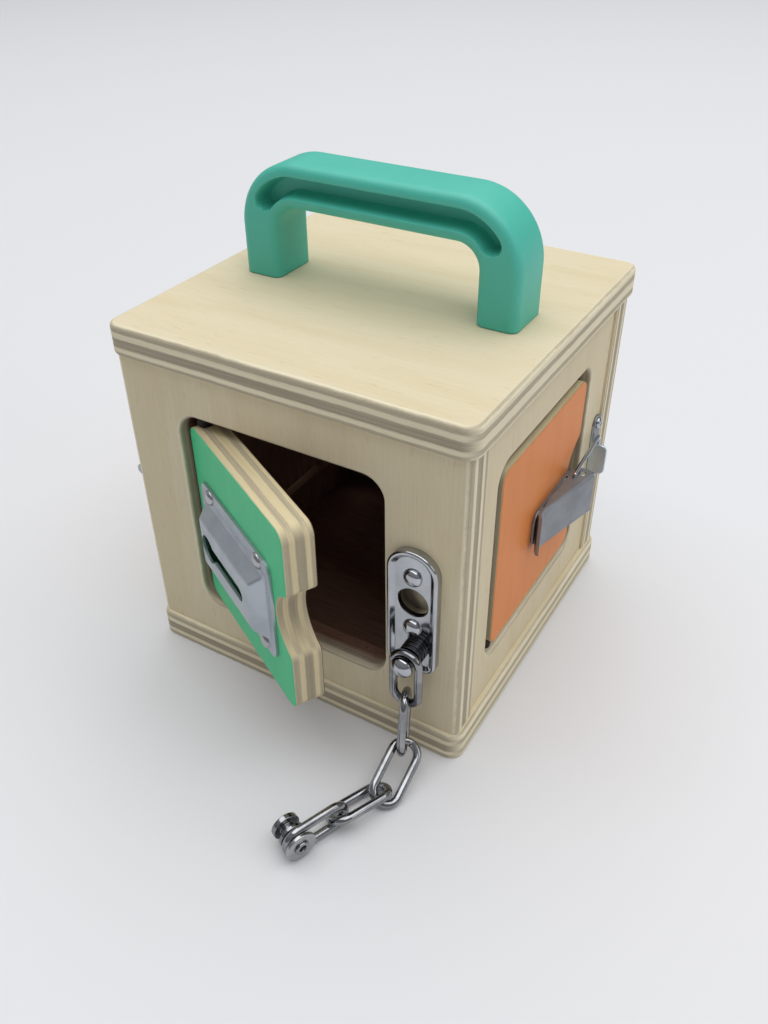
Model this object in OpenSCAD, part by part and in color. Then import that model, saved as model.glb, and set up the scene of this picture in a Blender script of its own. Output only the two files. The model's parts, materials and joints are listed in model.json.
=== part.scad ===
// Toddler lock box: a plywood cube with a carry handle, a door on each side and a lock on each door.
// Millimetres, +Z up, the front faces -Y, and the origin is the middle of the underside.

/* [Box] */
// Width of the box, left to right
box_w = 154; // [147:1:190]
// Depth of the box, front to back
box_d = 154; // [147:1:190]
// Thickness of the plywood plates and panels
ply = 13; // [10:0.5:15]
// Height of the four panels between the bottom and top plates
body_h = 130; // [118:1:170]
// Corner radius of the bottom and top plates
plate_r = 6; // [3:0.5:20]
// How far the panels stand back from the edges of the plates
panel_inset = 2; // [0.2:0.1:3]
// How far the side panels stand back from the ends of the front and back panels
side_recess = 1.2; // [0.4:0.1:1.6]
// Radius of the outer upright edges of the front and back panels
panel_edge_r = 2; // [0.5:0.5:6]

/* [Doors] */
// Width of a door opening
open_w = 91; // [84:1:96]
// Height of a door opening
open_h = 94; // [84:1:102]
// Corner radius of a door opening
open_r = 9; // [3:0.5:14]
// How far the openings sit towards the hinge side of their panels
open_shift = 3; // [0:0.5:5]
// Height of an opening's sill above the bottom plate
sill_h = 17.5; // [15:0.5:20]
// Clearance of a door's inner corner from its opening as it swings
swing_clear = 0.34; // [0.3:0.02:1]
// Gap between a door's top or bottom edge and its opening
door_end_gap = 5; // [2:0.1:6]
// Gap between a door's back and its stop block
door_back_gap = 0.4; // [0.3:0.1:2]
// Corner radius of a door
door_r = 5; // [2:0.5:12]
// Radius of the finger notch in a door's free edge
notch_r = 15; // [12:0.5:18]
// Depth of the finger notch
notch_depth = 11; // [6:0.5:12]
// Radius that eases the ends of the finger notch
notch_ease = 3; // [1:0.5:5]
// How far the front door stands open, in degrees
front_door_open = 29; // [0:1:90]
// Diameter of a door's hinge pin
pin_d = 3.2; // [2.4:0.1:4.4]
// Distance from a door's hinge edge to the hinge pin
pin_from_edge = 4.5; // [4:0.1:5]
// Distance from a door's face to the hinge pin
pin_from_face = 5.2; // [4.6:0.1:6]
// Length of a hinge pin inside the panel
pin_in_panel = 11; // [6:0.5:13]
// Length of a hinge pin inside the door
pin_in_door = 13; // [6:0.5:20]
// Diameter of the collar on a hinge pin that spaces the door from the opening
pin_collar_d = 6; // [5:0.5:7]
// Size of a stop block along the panel
stop_w = 9; // [6:0.5:12]
// Height of a stop block
stop_h = 22; // [10:1:26]
// Thickness of a stop block
stop_t = 7; // [4:0.5:9]
// How far a stop block reaches behind a door
stop_overlap = 2.5; // [1:0.5:4]
// Height of a stop block's middle above the middle of the door
stop_rise = 28; // [26:0.5:30]

/* [Handle] */
// Length of the handle over its legs
handle_w = 120.6; // [90:0.2:140]
// Height of the handle above the top plate
handle_h = 46; // [40:1:60]
// Depth of the handle, front to back
handle_depth = 23.6; // [18:0.2:30]
// Thickness of the handle's bar and legs
handle_t = 16.8; // [13:0.2:20]
// Outer radius of the handle's bends
handle_bend_r = 26; // [21:0.5:32]
// Radius along the handle's edges
handle_edge_r = 3.5; // [1:0.1:5]
// Width of the groove in each face of the handle
groove_w = 7; // [3:0.5:9]
// Depth of the groove
groove_depth = 5.5; // [2:0.5:8]
// Width of the groove's round ends, as a share of its own width
groove_end = 1.08; // [1.05:0.01:1.2]
// How far the groove runs round each bend, in degrees
groove_sweep = 48; // [10:1:70]
// Diameter of the screws that hold the handle
handle_screw_d = 5; // [3:0.5:6]
// Length of the handle screws inside the legs
handle_screw_in = 16; // [10:1:20]
// Diameter of the heads of the handle screws
handle_head_d = 10; // [8:0.5:12]
// Height of the heads of the handle screws
handle_head_h = 3; // [2:0.2:5]

/* [Small screws] */
// Shank diameter of the small screws
screw_d = 2.4; // [1.8:0.1:2.8]
// Depth of the small screws in the wood
screw_len = 9; // [5:0.5:10]
// Head diameter of the small screws
screw_head_d = 5.4; // [4.4:0.1:5.8]
// Head height of the small screws
screw_head_h = 1.7; // [1:0.1:2]
// Thickness of the sheet metal of the locks
sheet = 1.2; // [0.8:0.1:1.4]

/* [Chain track] */
// Width of the track plate
track_w = 63; // [56:0.5:66]
// Height of the track plate
track_h = 46; // [42:0.5:56]
// Corner radius of the track plate
track_r = 5; // [2:0.5:8]
// Width of the raised part at its foot
rise_foot_w = 56; // [53:0.5:58]
// Height of the raised part at its foot
rise_foot_h = 33; // [30:0.5:34]
// Width of the raised part at its crest
rise_crest_w = 47; // [44:0.5:50]
// Height of the raised part at its crest
rise_crest_h = 22; // [18:0.5:26]
// How far the crest stands off the door
rise = 6.5; // [4.5:0.1:8]
// Radius of the keyhole's round end
key_r = 6; // [5.8:0.1:7.5]
// Width of the keyhole's slot
key_slot_w = 6.6; // [5.4:0.1:8]
// Length of the keyhole's slot between the centres of its ends
key_slot_l = 30; // [20:0.5:32]
// Distance from the crest's edge to the keyhole's round end
key_margin = 1; // [0.4:0.1:2]
// Spacing of the track's screws across
track_screw_w = 44; // [40:0.5:50]
// Spacing of the track's screws up and down
track_screw_h = 39; // [38:0.5:40]
// How far the track sits towards the hinge from the middle of the door
track_shift = 2; // [0:0.5:4]
// How far the track sits below the middle of the door
track_drop = 2; // [0:0.5:6]

/* [Chain anchor] */
// Width of the anchor plate
anchor_w = 20.8; // [20.2:0.2:23]
// Height of the anchor plate
anchor_h = 56.5; // [55:0.5:62]
// Thickness of the anchor plate at its rim
anchor_t = 3.6; // [2.8:0.1:5]
// Depth of the anchor plate's dished middle
anchor_dish = 1.4; // [0.6:0.1:1.8]
// Width of the anchor plate's rim
anchor_rim = 2.6; // [1.5:0.1:3.4]
// Radius of the anchor plate's upper corners
anchor_top_r = 10; // [5:0.5:10]
// Radius of the anchor plate's lower corners
anchor_foot_r = 5; // [4:0.5:9]
// Gap between the opening and the anchor plate
anchor_gap = 2.9; // [0.5:0.1:4]
// Height of the anchor plate's middle above the bottom plate
anchor_rise = 59.8; // [59.6:0.1:68]
// Radius of the round hole in the anchor plate
anchor_hole_r = 6.2; // [4:0.1:6.4]
// Height of the hole above the anchor plate's middle
anchor_hole_up = 4.2; // [3.6:0.1:6]
// Distance from the hole to each screw of the anchor plate
anchor_screw_off = 12.1; // [11.6:0.1:12.6]
// Diameter of the anchor plate's screw heads
anchor_head_d = 7.6; // [5:0.1:8]
// Height of the anchor plate's screw heads
anchor_head_h = 2.4; // [1.5:0.1:3]
// Height of the stud below the anchor plate's middle
stud_down = 18.4; // [17.6:0.1:18.6]
// How far the stud stands to the right of the anchor plate's middle
stud_side = 1.5; // [0:0.1:2]
// Tilt of the stud's neck below level, in degrees
stud_tilt = 4; // [0:1:6]
// Radius of the stud's collar
stud_collar_r = 4.9; // [3.6:0.1:5.2]
// Height of the stud's collar above the plate's floor
stud_collar_h = 5; // [3:0.1:5.1]
// Depth of the grooves between the rings of the stud's collar
stud_ring_depth = 0.8; // [0.4:0.1:1.2]
// Number of rings on the stud's collar
stud_rings = 3; // [2:1:4]
// Radius of the stud's neck
stud_neck_r = 1.8; // [1.6:0.1:2]
// Length of the stud's neck
stud_neck_l = 4.8; // [4.8:0.1:7]
// Radius of the stud's head
stud_head_r = 4.5; // [4.2:0.1:4.6]
// Height of the stud's domed head
stud_head_h = 3.8; // [2:0.1:5]

/* [Chain] */
// Length of a chain link
link_l = 29; // [26:0.5:32]
// Width of a chain link
link_w = 14.2; // [13.6:0.1:16]
// Wire diameter of a chain link
link_wire = 3.4; // [2.8:0.1:3.6]
// Distance from the stud's collar to the middle of the first link's wire
link_from_collar = 2.2; // [2:0.1:2.4]
// Radius of the end button's pin
button_pin_r = 2.4; // [1.6:0.1:2.5]
// Radius of the end button's washer
washer_r = 6.2; // [5:0.1:6.6]
// Thickness of the end button's washer and flange
button_disc_t = 1.5; // [1:0.1:2]
// Radius of the end button's head and flange
button_head_r = 5.5; // [4.8:0.1:5.6]
// Thickness of the end button's head
button_head_t = 2.2; // [1.2:0.1:3]
// Width of the groove that runs in the keyhole's slot
button_groove_w = 3; // [2:0.1:4]
// Radius of the end button's groove
button_groove_r = 2.9; // [2.5:0.1:3]
// Radius of the rivet that holds the washer on the end button
rivet_r = 3; // [2.8:0.1:4]
// Height of the rivet above the washer
rivet_h = 0.8; // [0.4:0.1:1.2]
// Radius of the hole in the rivet
rivet_hole_r = 1.5; // [0.8:0.1:1.5]

/* [Draw latch] */
// Distance from the door's free edge to the lever's high end
latch_setback = 11; // [9:0.5:14]
// How far the latch sits below the middle of the door
latch_drop = 5.5; // [0:0.5:9]
// Length of the lever's sloping face
lever_l = 33; // [28:0.5:36]
// Width of the lever
lever_w = 19.4; // [16:0.2:22]
// Height of the lever's face above the door at the finger end
lever_low = 3; // [2.8:0.1:3.6]
// Height of the lever's face above the door at the keeper end
lever_high = 12; // [11.6:0.1:12.6]
// Height of the lever's pivot above the door
lever_pivot_h = 7; // [6.8:0.1:7.2]
// Distance from the lever's high end to its pivot
lever_pivot_in = 1.5; // [1:0.1:2]
// Diameter of the lever's pin
lever_pin_d = 3; // [2:0.1:3.4]
// Length of the latch's base plate
latch_base_l = 40; // [34:0.5:46]
// Distance from the lever's low end to the first screw under it
latch_screw_near = 11; // [9:0.5:13]
// Distance from the lever's low end to the second screw under it
latch_screw_far = 21; // [19:0.5:22]
// Length of the lever's finger tab
lever_tab = 6.5; // [4:0.5:8]
// Distance from the lever's low end to the foot of its side walls
lever_heel = 8; // [6:0.5:10]
// Wire diameter of the bail
bail_d = 1.8; // [1.4:0.1:2]
// Distance from the lever's pivot back to the bail's pivot
bail_back = 4; // [3.5:0.1:4.5]
// Distance from the lever's pivot down to the bail's pivot
bail_down = 2; // [1.5:0.1:2.4]
// Room between the bail and the keeper's lip
bail_play = 1.3; // [1.2:0.1:2]
// Radius of the bail's corners
bail_r = 2.6; // [1.5:0.1:4]
// Width of the keeper's plate
keeper_w = 8; // [7:0.5:10]
// Height of the keeper's plate
keeper_h = 40; // [38:0.5:46]
// Gap between the keeper and the end of the side panel
keeper_margin = 0.6; // [0.2:0.1:2]
// Height of the keeper's lip above the panel
lip_out = 8.2; // [6:0.1:8.4]
// Length of the keeper's lip, up and down
lip_h = 15; // [10:0.5:18]

/* [Turn latch] */
// Width of the turn latch's base plate
turn_w = 10.6; // [9:0.1:12]
// Height of the turn latch's base plate
turn_h = 34; // [32:0.5:40]
// Height of the turn latch above the bottom plate
turn_rise = 62; // [56:0.5:70]
// Length of the turn latch's arm from its axle
turn_arm = 26; // [23:0.5:30]
// Thickness of the turn latch's arm
turn_arm_t = 2.6; // [2:0.1:4]
// Height of the grip above the panel
grip_out = 20; // [14:0.5:24]
// Thickness of the grip
grip_t = 5.4; // [4.6:0.1:7]
// Length of the grip where it stands on the arm
grip_l = 18; // [12:0.5:20]
// Radius of the grip's tip
grip_tip_r = 2.6; // [2:0.1:5]
// Diameter of the turn latch's axle
axle_d = 3; // [2.4:0.1:3.4]

/* [Barrel bolt] */
// Length of the barrel bolt's plate
bolt_plate_l = 40; // [36:0.5:42]
// Height of the barrel bolt's plate
bolt_plate_h = 25; // [22:0.5:30]
// Radius of the bolt
bolt_r = 3; // [2:0.1:3.4]
// Height of the bolt's axis above the door
bolt_out = 6; // [5.6:0.1:7]
// Outer radius of the bolt's guides
guide_r = 4.6; // [4.3:0.1:5]
// Length of each guide
guide_l = 8; // [6:0.5:9]
// Travel of the bolt
bolt_travel = 12; // [10:0.5:12]
// How far the drawn bolt reaches past the door's free edge
bolt_past = 2.5; // [0.5:0.5:3]
// Distance from the drawn bolt to its keeper
bolt_keeper_gap = 4.5; // [4:0.1:5]
// Length of the bolt behind its plate
bolt_tail_l = 6; // [4:0.5:8]
// Radial room for the bolt in its keeper
bolt_keeper_room = 0.7; // [0.5:0.1:1]
// Radius of the bolt's knob
knob_r = 4; // [3:0.1:4.6]
// Height of the bolt's knob
knob_h = 6; // [5:0.5:7]
// Height of the knob's top above the door
knob_out = 17; // [14:0.5:20]

/* [Hidden] */
$fn = 48;

front = 0;
right = 1;
back = 2;
left = 3;
sides = [front, right, back, left];

// Clearances: fast fits, running fits, drilled holes in sheet, and plain gaps between moving pieces
fit = 0.02;
run = 0.05;
drill = 0.15;
gap = 0.3;
// Extra length of a cut, so that it passes the face that it opens
over = 1;

box_h = body_h + 2 * ply;
panel_w = box_w - 2 * panel_inset;
side_w = box_d - 2 * (panel_inset + ply);
side_half = side_w / 2;

open_x = -open_shift;
open_y = ply + sill_h + open_h / 2;
open_right = open_x + open_w / 2;
open_top = open_y + open_h / 2;
open_foot = open_y - open_h / 2;
door_t = ply - door_back_gap;
door_gap = norm([pin_from_edge, door_t - pin_from_face]) + swing_clear - pin_from_edge;
door_w = open_w - 2 * door_gap;
door_h = open_h - 2 * door_end_gap;
door_right = open_x + door_w / 2;
door_top = open_y + door_h / 2;
door_foot = open_y - door_h / 2;
pivot_x = open_x - door_w / 2 + pin_from_edge;
notch_out = notch_r - notch_depth;
notch_ease_x = door_w / 2 - notch_ease;
notch_ease_y = sqrt(pow(notch_r + notch_ease, 2) - pow(notch_out + notch_ease, 2));

handle_mid_r = handle_bend_r - handle_t / 2;
handle_bend_x = handle_w / 2 - handle_bend_r;
handle_leg_h = handle_h - handle_bend_r;
handle_leg_x = handle_w / 2 - handle_t / 2;

track_x = open_x - track_shift;
track_y = open_y - track_drop;
key_x = -rise_crest_w / 2 + key_margin + key_r;
track_screws = [for (sx = [-1, 1], sy = [-1, 1])
    [track_x + sx * track_screw_w / 2, track_y + sy * track_screw_h / 2]];

anchor_x = open_right + anchor_gap + anchor_w / 2;
anchor_y = ply + anchor_rise;
anchor_floor = anchor_t - anchor_dish;
anchor_screws = [for (s = [-1, 1]) [anchor_x, anchor_y + anchor_hole_up + s * anchor_screw_off]];
stud_x = anchor_x + stud_side;
stud_y = anchor_y - stud_down;
stud_root = anchor_floor + stud_collar_h;
link_out = stud_root + link_from_collar;

// Turn of each chain link: heading from straight out towards the right, dip below level, and roll
link_turns = [[0, 90, 0], [20, 71, 90], [0, 26, -33], [-22, -4, 27], [-22, 0, 88]];
// Seat of each link in the one before it: heading, dip, and share of the free play that is taken up
link_seats = [[0, 90, 1], [0, 90, 1], [34, 48, 0.9], [-45, 10, 0.7], [-16, -20, 0.75]];
link_bend_r = (link_w - link_wire) / 2;
link_straight = link_l - link_wire - 2 * link_bend_r;
link_reach = link_w - 2 * link_wire - gap;
button_span = link_wire + 2 * gap;

latch_x = door_right - latch_setback;
latch_y = open_y - latch_drop;
lever_x0 = latch_x - lever_l;
lever_px = latch_x - lever_pivot_in;
lever_boss_r = lever_pivot_h - sheet - 2 * gap - 1;
lever_in = lever_w / 2 - sheet;
ear_out = lever_in - gap;
ear_r = lever_high - lever_pivot_h - sheet - 3 * gap;
latch_base_x = latch_x + 2 - latch_base_l / 2;
latch_base_w = 2 * ear_out;
latch_screws = [for (x = [latch_screw_near, latch_screw_far]) [lever_x0 + x, latch_y]];
keeper_x = side_half - keeper_margin - keeper_w / 2;
keeper_left = keeper_x - keeper_w / 2;
keeper_screws = [for (s = [-1, 1]) [keeper_left + keeper_w / 2 + gap, latch_y + s * (keeper_h / 2 - 4)]];
bail_px = lever_px - bail_back;
bail_pz = lever_pivot_h - bail_down;
bail_cx = keeper_left + sheet + bail_play + bail_d / 2;
bail_cz = sheet + bail_d;
bail_half = lever_w / 2 + gap + bail_d / 2;
bail_l = norm([bail_cx - bail_px, bail_cz - bail_pz]);
bail_slope = atan2(bail_cz - bail_pz, bail_cx - bail_px);

turn_x = side_half - gap - turn_w / 2;
turn_y = ply + turn_rise;
turn_hub_z = sheet + screw_head_h + 2 * gap;
turn_screws = [for (s = [-1, 1]) [turn_x, turn_y + s * (turn_h / 2 - screw_head_d / 2 - 1)]];
axle_top = grip_out - 4;

bolt_x1 = door_right - notch_depth - 3;
bolt_x0 = bolt_x1 - bolt_plate_l;
bolt_tip = door_right + bolt_past;
bolt_tail = bolt_x0 - bolt_tail_l;
bolt_knob_x = bolt_x0 + guide_l + 5;
bolt_keeper_x = bolt_tip + bolt_keeper_gap + guide_l / 2;
guide_xs = [bolt_x0 + guide_l / 2 + 2, bolt_x1 - guide_l / 2 - 2];
bolt_screws = [for (x = guide_xs, s = [-1, 1]) [x, open_y + s * (bolt_plate_h / 2 - screw_head_d / 2 - 0.8)]];
bolt_keeper_screws_at = [for (s = [-1, 1])
    [bolt_keeper_x, open_y + s * (bolt_plate_h / 2 - screw_head_d / 2 - 0.8)]];

// Distance from the middle of the box to the outer face of a wall
function face(side) = side % 2 == 0 ? box_d / 2 - panel_inset : box_w / 2 - panel_inset - side_recess;

// Unit vectors of a chain link: its run, its level side, its lift and its own width
function aim(heading, dip) = [sin(heading) * cos(dip), -cos(heading) * cos(dip), -sin(dip)];
function lift(heading, dip) = [sin(heading) * sin(dip), -cos(heading) * sin(dip), cos(dip)];
function link_run(i) = aim(link_turns[i][0], link_turns[i][1]);
function link_across(i) = cos(link_turns[i][2]) * [cos(link_turns[i][0]), sin(link_turns[i][0]), 0]
    + sin(link_turns[i][2]) * lift(link_turns[i][0], link_turns[i][1]);

// Middle of the wire where the first link hangs on the stud's neck
chain_top = [
    stud_x,
    -face(front) - link_out,
    stud_y - (link_out - stud_root) * tan(stud_tilt) + (stud_neck_r + link_wire / 2 + gap) / cos(stud_tilt)
];
// Centres of the bends at the two ends of a link
function near_bend(i) = i == 0 ? chain_top + link_bend_r * link_run(0)
    : far_bend(i - 1) + link_seats[i][2] * link_reach * aim(link_seats[i][0], link_seats[i][1]);
function far_bend(i) = near_bend(i) + link_straight * link_run(i);

// A wall's own frame: X to the right as seen from outside, Y up and Z out of the face
module wall(side) {
    rotate([0, 0, 90 * side]) translate([0, -face(side), 0]) rotate([90, 0, 0]) children();
}

// Swings a door and what it carries out of its opening
module swing(angle) {
    translate([pivot_x, 0, -pin_from_face]) rotate([0, -angle, 0]) translate([-pivot_x, 0, pin_from_face])
        children();
}

// Extrudes an outline drawn in X and Z along the wall's Y, centred
module across(width) {
    translate([0, width / 2, 0]) rotate([90, 0, 0]) linear_extrude(width) children();
}

// A round bar that runs up the wall
module upright(x, y, z, r, h) {
    translate([x, y, z]) rotate([-90, 0, 0]) cylinder(r = r, h = h);
}

// A round bar that runs along the wall
module level(x, y, z, r, l) {
    translate([x, y, z]) rotate([0, 90, 0]) cylinder(r = r, h = l);
}

module rounded(w, h, r) {
    square([w, h - 2 * r], center = true);
    square([w - 2 * r, h], center = true);
    for (sx = [-1, 1], sy = [-1, 1]) translate([sx * (w / 2 - r), sy * (h / 2 - r)]) circle(r);
}

// A rounded plate with one radius for its upper corners and another for its lower ones
module arched(w, h, top_r, foot_r) {
    translate([-w / 2, foot_r - h / 2]) square([w, h - top_r - foot_r]);
    translate([top_r - w / 2, 0]) square([w - 2 * top_r, h / 2]);
    translate([foot_r - w / 2, -h / 2]) square([w - 2 * foot_r, h / 2]);
    for (s = [-1, 1]) {
        translate([s * (w / 2 - top_r), h / 2 - top_r]) circle(top_r);
        translate([s * (w / 2 - foot_r), foot_r - h / 2]) circle(foot_r);
    }
}

// A shallow cap of a sphere on a flat base
module dome(r, h) {
    ball = (r * r + h * h) / (2 * h);
    intersection() {
        translate([0, 0, h - ball]) sphere(ball);
        cylinder(r = r, h = h);
    }
}

// Small screws whose heads sit at height z on a wall
module screws(places, z, head_d = screw_head_d, head_h = screw_head_h) {
    for (p = places) translate([p[0], p[1], 0]) {
        translate([0, 0, z]) dome(head_d / 2, head_h);
        translate([0, 0, gap - screw_len]) cylinder(d = screw_d, h = screw_len - gap + z + head_h / 2);
    }
}

// Pilot holes for those screws in the wood, and clear holes for them in sheet metal
module pilots(places) {
    for (p = places) translate([p[0], p[1], -screw_len]) cylinder(d = screw_d + 2 * fit, h = screw_len + over);
}

module drilled(places) {
    for (p = places) translate([p[0], p[1], -over])
        cylinder(d = screw_d + 2 * drill, h = anchor_t + guide_r + bolt_out + over);
}

// Box

module plate_blank() {
    linear_extrude(ply) rounded(box_w, box_d, plate_r);
}

module bottom_plate() {
    color("burlywood") plate_blank();
}

module top_plate() {
    color("burlywood") difference() {
        translate([0, 0, box_h - ply]) plate_blank();
        for (s = [-1, 1]) translate([s * handle_leg_x, 0, box_h - ply - over])
            cylinder(d = handle_screw_d + 2 * drill, h = ply + 2 * over);
    }
}

module opening_cut() {
    translate([open_x, open_y, -ply - over]) linear_extrude(ply + 2 * over) rounded(open_w, open_h, open_r);
}

// Holes for the hinge pins, and flats for their collars in the opening's rounded corners
module pin_sockets() {
    socket_r = pin_d / 2 + fit;
    flat_r = pin_collar_d / 2 + gap;
    upright(pivot_x, open_top - over, -pin_from_face, socket_r, pin_in_panel + over);
    upright(pivot_x, open_foot - pin_in_panel, -pin_from_face, socket_r, pin_in_panel + over);
    upright(pivot_x, open_top - door_end_gap, -pin_from_face, flat_r, door_end_gap);
    upright(pivot_x, open_foot, -pin_from_face, flat_r, door_end_gap);
}

// Plan of a front or back panel, with its outer upright edges rounded
module panel_plan() {
    translate([-panel_w / 2, panel_edge_r]) square([panel_w, ply - panel_edge_r]);
    translate([panel_edge_r - panel_w / 2, 0]) square([panel_w - 2 * panel_edge_r, ply]);
    for (s = [-1, 1]) translate([s * (panel_w / 2 - panel_edge_r), panel_edge_r]) circle(panel_edge_r);
}

module long_panel(side, holes) {
    wall(side) difference() {
        translate([0, ply, 0]) rotate([-90, 0, 0]) linear_extrude(body_h) panel_plan();
        opening_cut();
        pin_sockets();
        pilots(holes);
    }
}

// Room for the head of a handle screw, where a wide handle or a narrow box brings it to a side wall
module head_pocket(side) {
    upright(0, box_h - ply - handle_head_h - gap, handle_leg_x - face(side), handle_head_d / 2 + gap,
        handle_head_h + gap + over);
}

module short_panel(side, holes) {
    wall(side) difference() {
        translate([-side_half, ply, -ply]) cube([side_w, body_h, ply]);
        opening_cut();
        pin_sockets();
        pilots(holes);
        head_pocket(side);
        children();
    }
}

module front_panel() {
    color("wheat") long_panel(front, anchor_screws);
}

module back_panel() {
    color("wheat") long_panel(back, bolt_keeper_screws_at);
}

module right_panel() {
    color("wheat") short_panel(right, keeper_screws);
}

module left_panel() {
    color("wheat") short_panel(left, turn_screws)
        translate([turn_x, turn_y, -screw_len]) cylinder(d = axle_d + 2 * fit, h = screw_len + over);
}

module handle_section() {
    rounded(handle_t, handle_depth, handle_edge_r);
}

// The groove's run: along the bar and part of the way round both bends, with round ends
module groove_outline() {
    far = 2 * handle_bend_r;
    stop = 90 - groove_sweep;
    translate([-handle_bend_x, handle_leg_h + handle_mid_r - groove_w / 2]) square([2 * handle_bend_x, groove_w]);
    for (m = [0, 1]) mirror([m, 0]) translate([handle_bend_x, handle_leg_h]) {
        intersection() {
            difference() {
                circle(handle_mid_r + groove_w / 2);
                circle(handle_mid_r - groove_w / 2);
            }
            polygon([[-over, 0], [0, 0], [far * cos(stop), far * sin(stop)], [far * cos(stop), far], [-over, far]]);
        }
        rotate([0, 0, stop]) translate([handle_mid_r, 0]) circle(d = groove_end * groove_w);
    }
}

module handle() {
    color("mediumaquamarine") translate([0, 0, box_h]) difference() {
        union() {
            for (m = [0, 1]) mirror([m, 0, 0]) {
                translate([handle_leg_x, 0, 0]) linear_extrude(handle_leg_h) handle_section();
                translate([handle_bend_x, 0, handle_leg_h]) rotate([90, 0, 0]) rotate_extrude(angle = 90)
                    translate([handle_mid_r, 0]) handle_section();
            }
            translate([-handle_bend_x, 0, handle_leg_h + handle_mid_r]) rotate([0, 90, 0])
                linear_extrude(2 * handle_bend_x) handle_section();
        }
        for (turn = [0, 180]) rotate([0, 0, turn]) rotate([90, 0, 0])
            translate([0, 0, handle_depth / 2 - groove_depth]) linear_extrude(groove_depth + over) groove_outline();
        for (s = [-1, 1]) translate([s * handle_leg_x, 0, -over])
            cylinder(d = handle_screw_d + 2 * fit, h = handle_screw_in + gap + over);
    }
}

module handle_screws() {
    color("silver") for (s = [-1, 1]) translate([s * handle_leg_x, 0, box_h - ply]) {
        rotate([180, 0, 0]) dome(handle_head_d / 2, handle_head_h);
        translate([0, 0, -handle_head_h / 2])
            cylinder(d = handle_screw_d, h = handle_head_h / 2 + ply + handle_screw_in);
    }
}

// Each door turns on two pins, whose collars fill the gap above and below it
module door_hinge_pins() {
    collar_h = door_end_gap - gap;
    color("silver") for (side = sides) wall(side) {
        upright(pivot_x, door_top - pin_in_door, -pin_from_face, pin_d / 2,
            pin_in_door + door_end_gap + pin_in_panel);
        upright(pivot_x, open_top - collar_h, -pin_from_face, pin_collar_d / 2, collar_h);
        upright(pivot_x, open_foot - pin_in_panel, -pin_from_face, pin_d / 2,
            pin_in_panel + door_end_gap + pin_in_door);
        upright(pivot_x, open_foot, -pin_from_face, pin_collar_d / 2, collar_h);
    }
}

module door_stops() {
    color("burlywood") for (side = sides) wall(side)
        translate([door_right - stop_overlap, open_y + stop_rise - stop_h / 2, -ply - stop_t])
            cube([stop_w + door_gap, stop_h, stop_t]);
}

// Doors

// A finger notch whose two ends ease into the door's free edge
module notch() {
    centre = [door_w / 2 + notch_out, 0];
    difference() {
        union() {
            translate(centre) circle(notch_r);
            polygon([centre, [notch_ease_x, notch_ease_y], [door_w / 2 + over, notch_ease_y],
                [door_w / 2 + over, -notch_ease_y], [notch_ease_x, -notch_ease_y]]);
        }
        for (s = [-1, 1]) translate([notch_ease_x, s * notch_ease_y]) circle(notch_ease);
    }
}

module door_blank(holes) {
    bore_r = pin_d / 2 + run;
    bore_l = pin_in_door + gap;
    difference() {
        translate([open_x, open_y, -door_t]) linear_extrude(door_t) difference() {
            rounded(door_w, door_h, door_r);
            notch();
        }
        upright(pivot_x, door_top - bore_l, -pin_from_face, bore_r, bore_l + over);
        upright(pivot_x, door_foot - over, -pin_from_face, bore_r, bore_l + over);
        pilots(holes);
    }
}

module front_door() {
    color("mediumseagreen") wall(front) swing(front_door_open) door_blank(track_screws);
}

module right_door() {
    color("sandybrown") wall(right) door_blank(latch_screws);
}

module back_door() {
    color("steelblue") wall(back) door_blank(bolt_screws);
}

module left_door() {
    color("gold") wall(left) door_blank([]);
}

// Chain lock

// A four-sided block whose walls lean in from its foot to its crest
module lean_block(foot_w, foot_h, crest_w, crest_h, h) {
    intersection() {
        across(foot_h) polygon([[-foot_w / 2, 0], [foot_w / 2, 0], [crest_w / 2, h], [-crest_w / 2, h]]);
        rotate([0, 0, 90]) across(foot_w)
            polygon([[-foot_h / 2, 0], [foot_h / 2, 0], [crest_h / 2, h], [-crest_h / 2, h]]);
    }
}

module chain_track() {
    color("lightsteelblue") wall(front) swing(front_door_open) difference() {
        translate([track_x, track_y, 0]) difference() {
            union() {
                linear_extrude(sheet) rounded(track_w, track_h, track_r);
                lean_block(rise_foot_w, rise_foot_h, rise_crest_w, rise_crest_h, rise);
            }
            translate([0, 0, -sheet]) lean_block(rise_foot_w, rise_foot_h, rise_crest_w, rise_crest_h, rise);
            translate([key_x, 0, sheet + gap]) {
                cylinder(r = key_r, h = rise);
                translate([0, -key_slot_w / 2, 0]) cube([key_slot_l, key_slot_w, rise]);
                translate([key_slot_l, 0, 0]) cylinder(d = key_slot_w, h = rise);
            }
        }
        drilled(track_screws);
    }
}

module chain_track_screws() {
    color("silver") wall(front) swing(front_door_open) screws(track_screws, sheet);
}

module chain_anchor_plate() {
    dish_w = anchor_w - 2 * anchor_rim;
    dish_h = anchor_h - 2 * anchor_rim;
    color("gainsboro") wall(front) difference() {
        translate([anchor_x, anchor_y, 0]) linear_extrude(anchor_t)
            arched(anchor_w, anchor_h, anchor_top_r, anchor_foot_r);
        translate([anchor_x, anchor_y, anchor_floor]) linear_extrude(anchor_t)
            arched(dish_w, dish_h, anchor_top_r - anchor_rim, anchor_foot_r - anchor_rim);
        translate([anchor_x, anchor_y + anchor_hole_up, -over])
            cylinder(r = anchor_hole_r, h = anchor_t + 2 * over);
        drilled(anchor_screws);
    }
}

module chain_anchor_screws() {
    color("silver") wall(front) screws(anchor_screws, anchor_floor, anchor_head_d, anchor_head_h);
}

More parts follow.
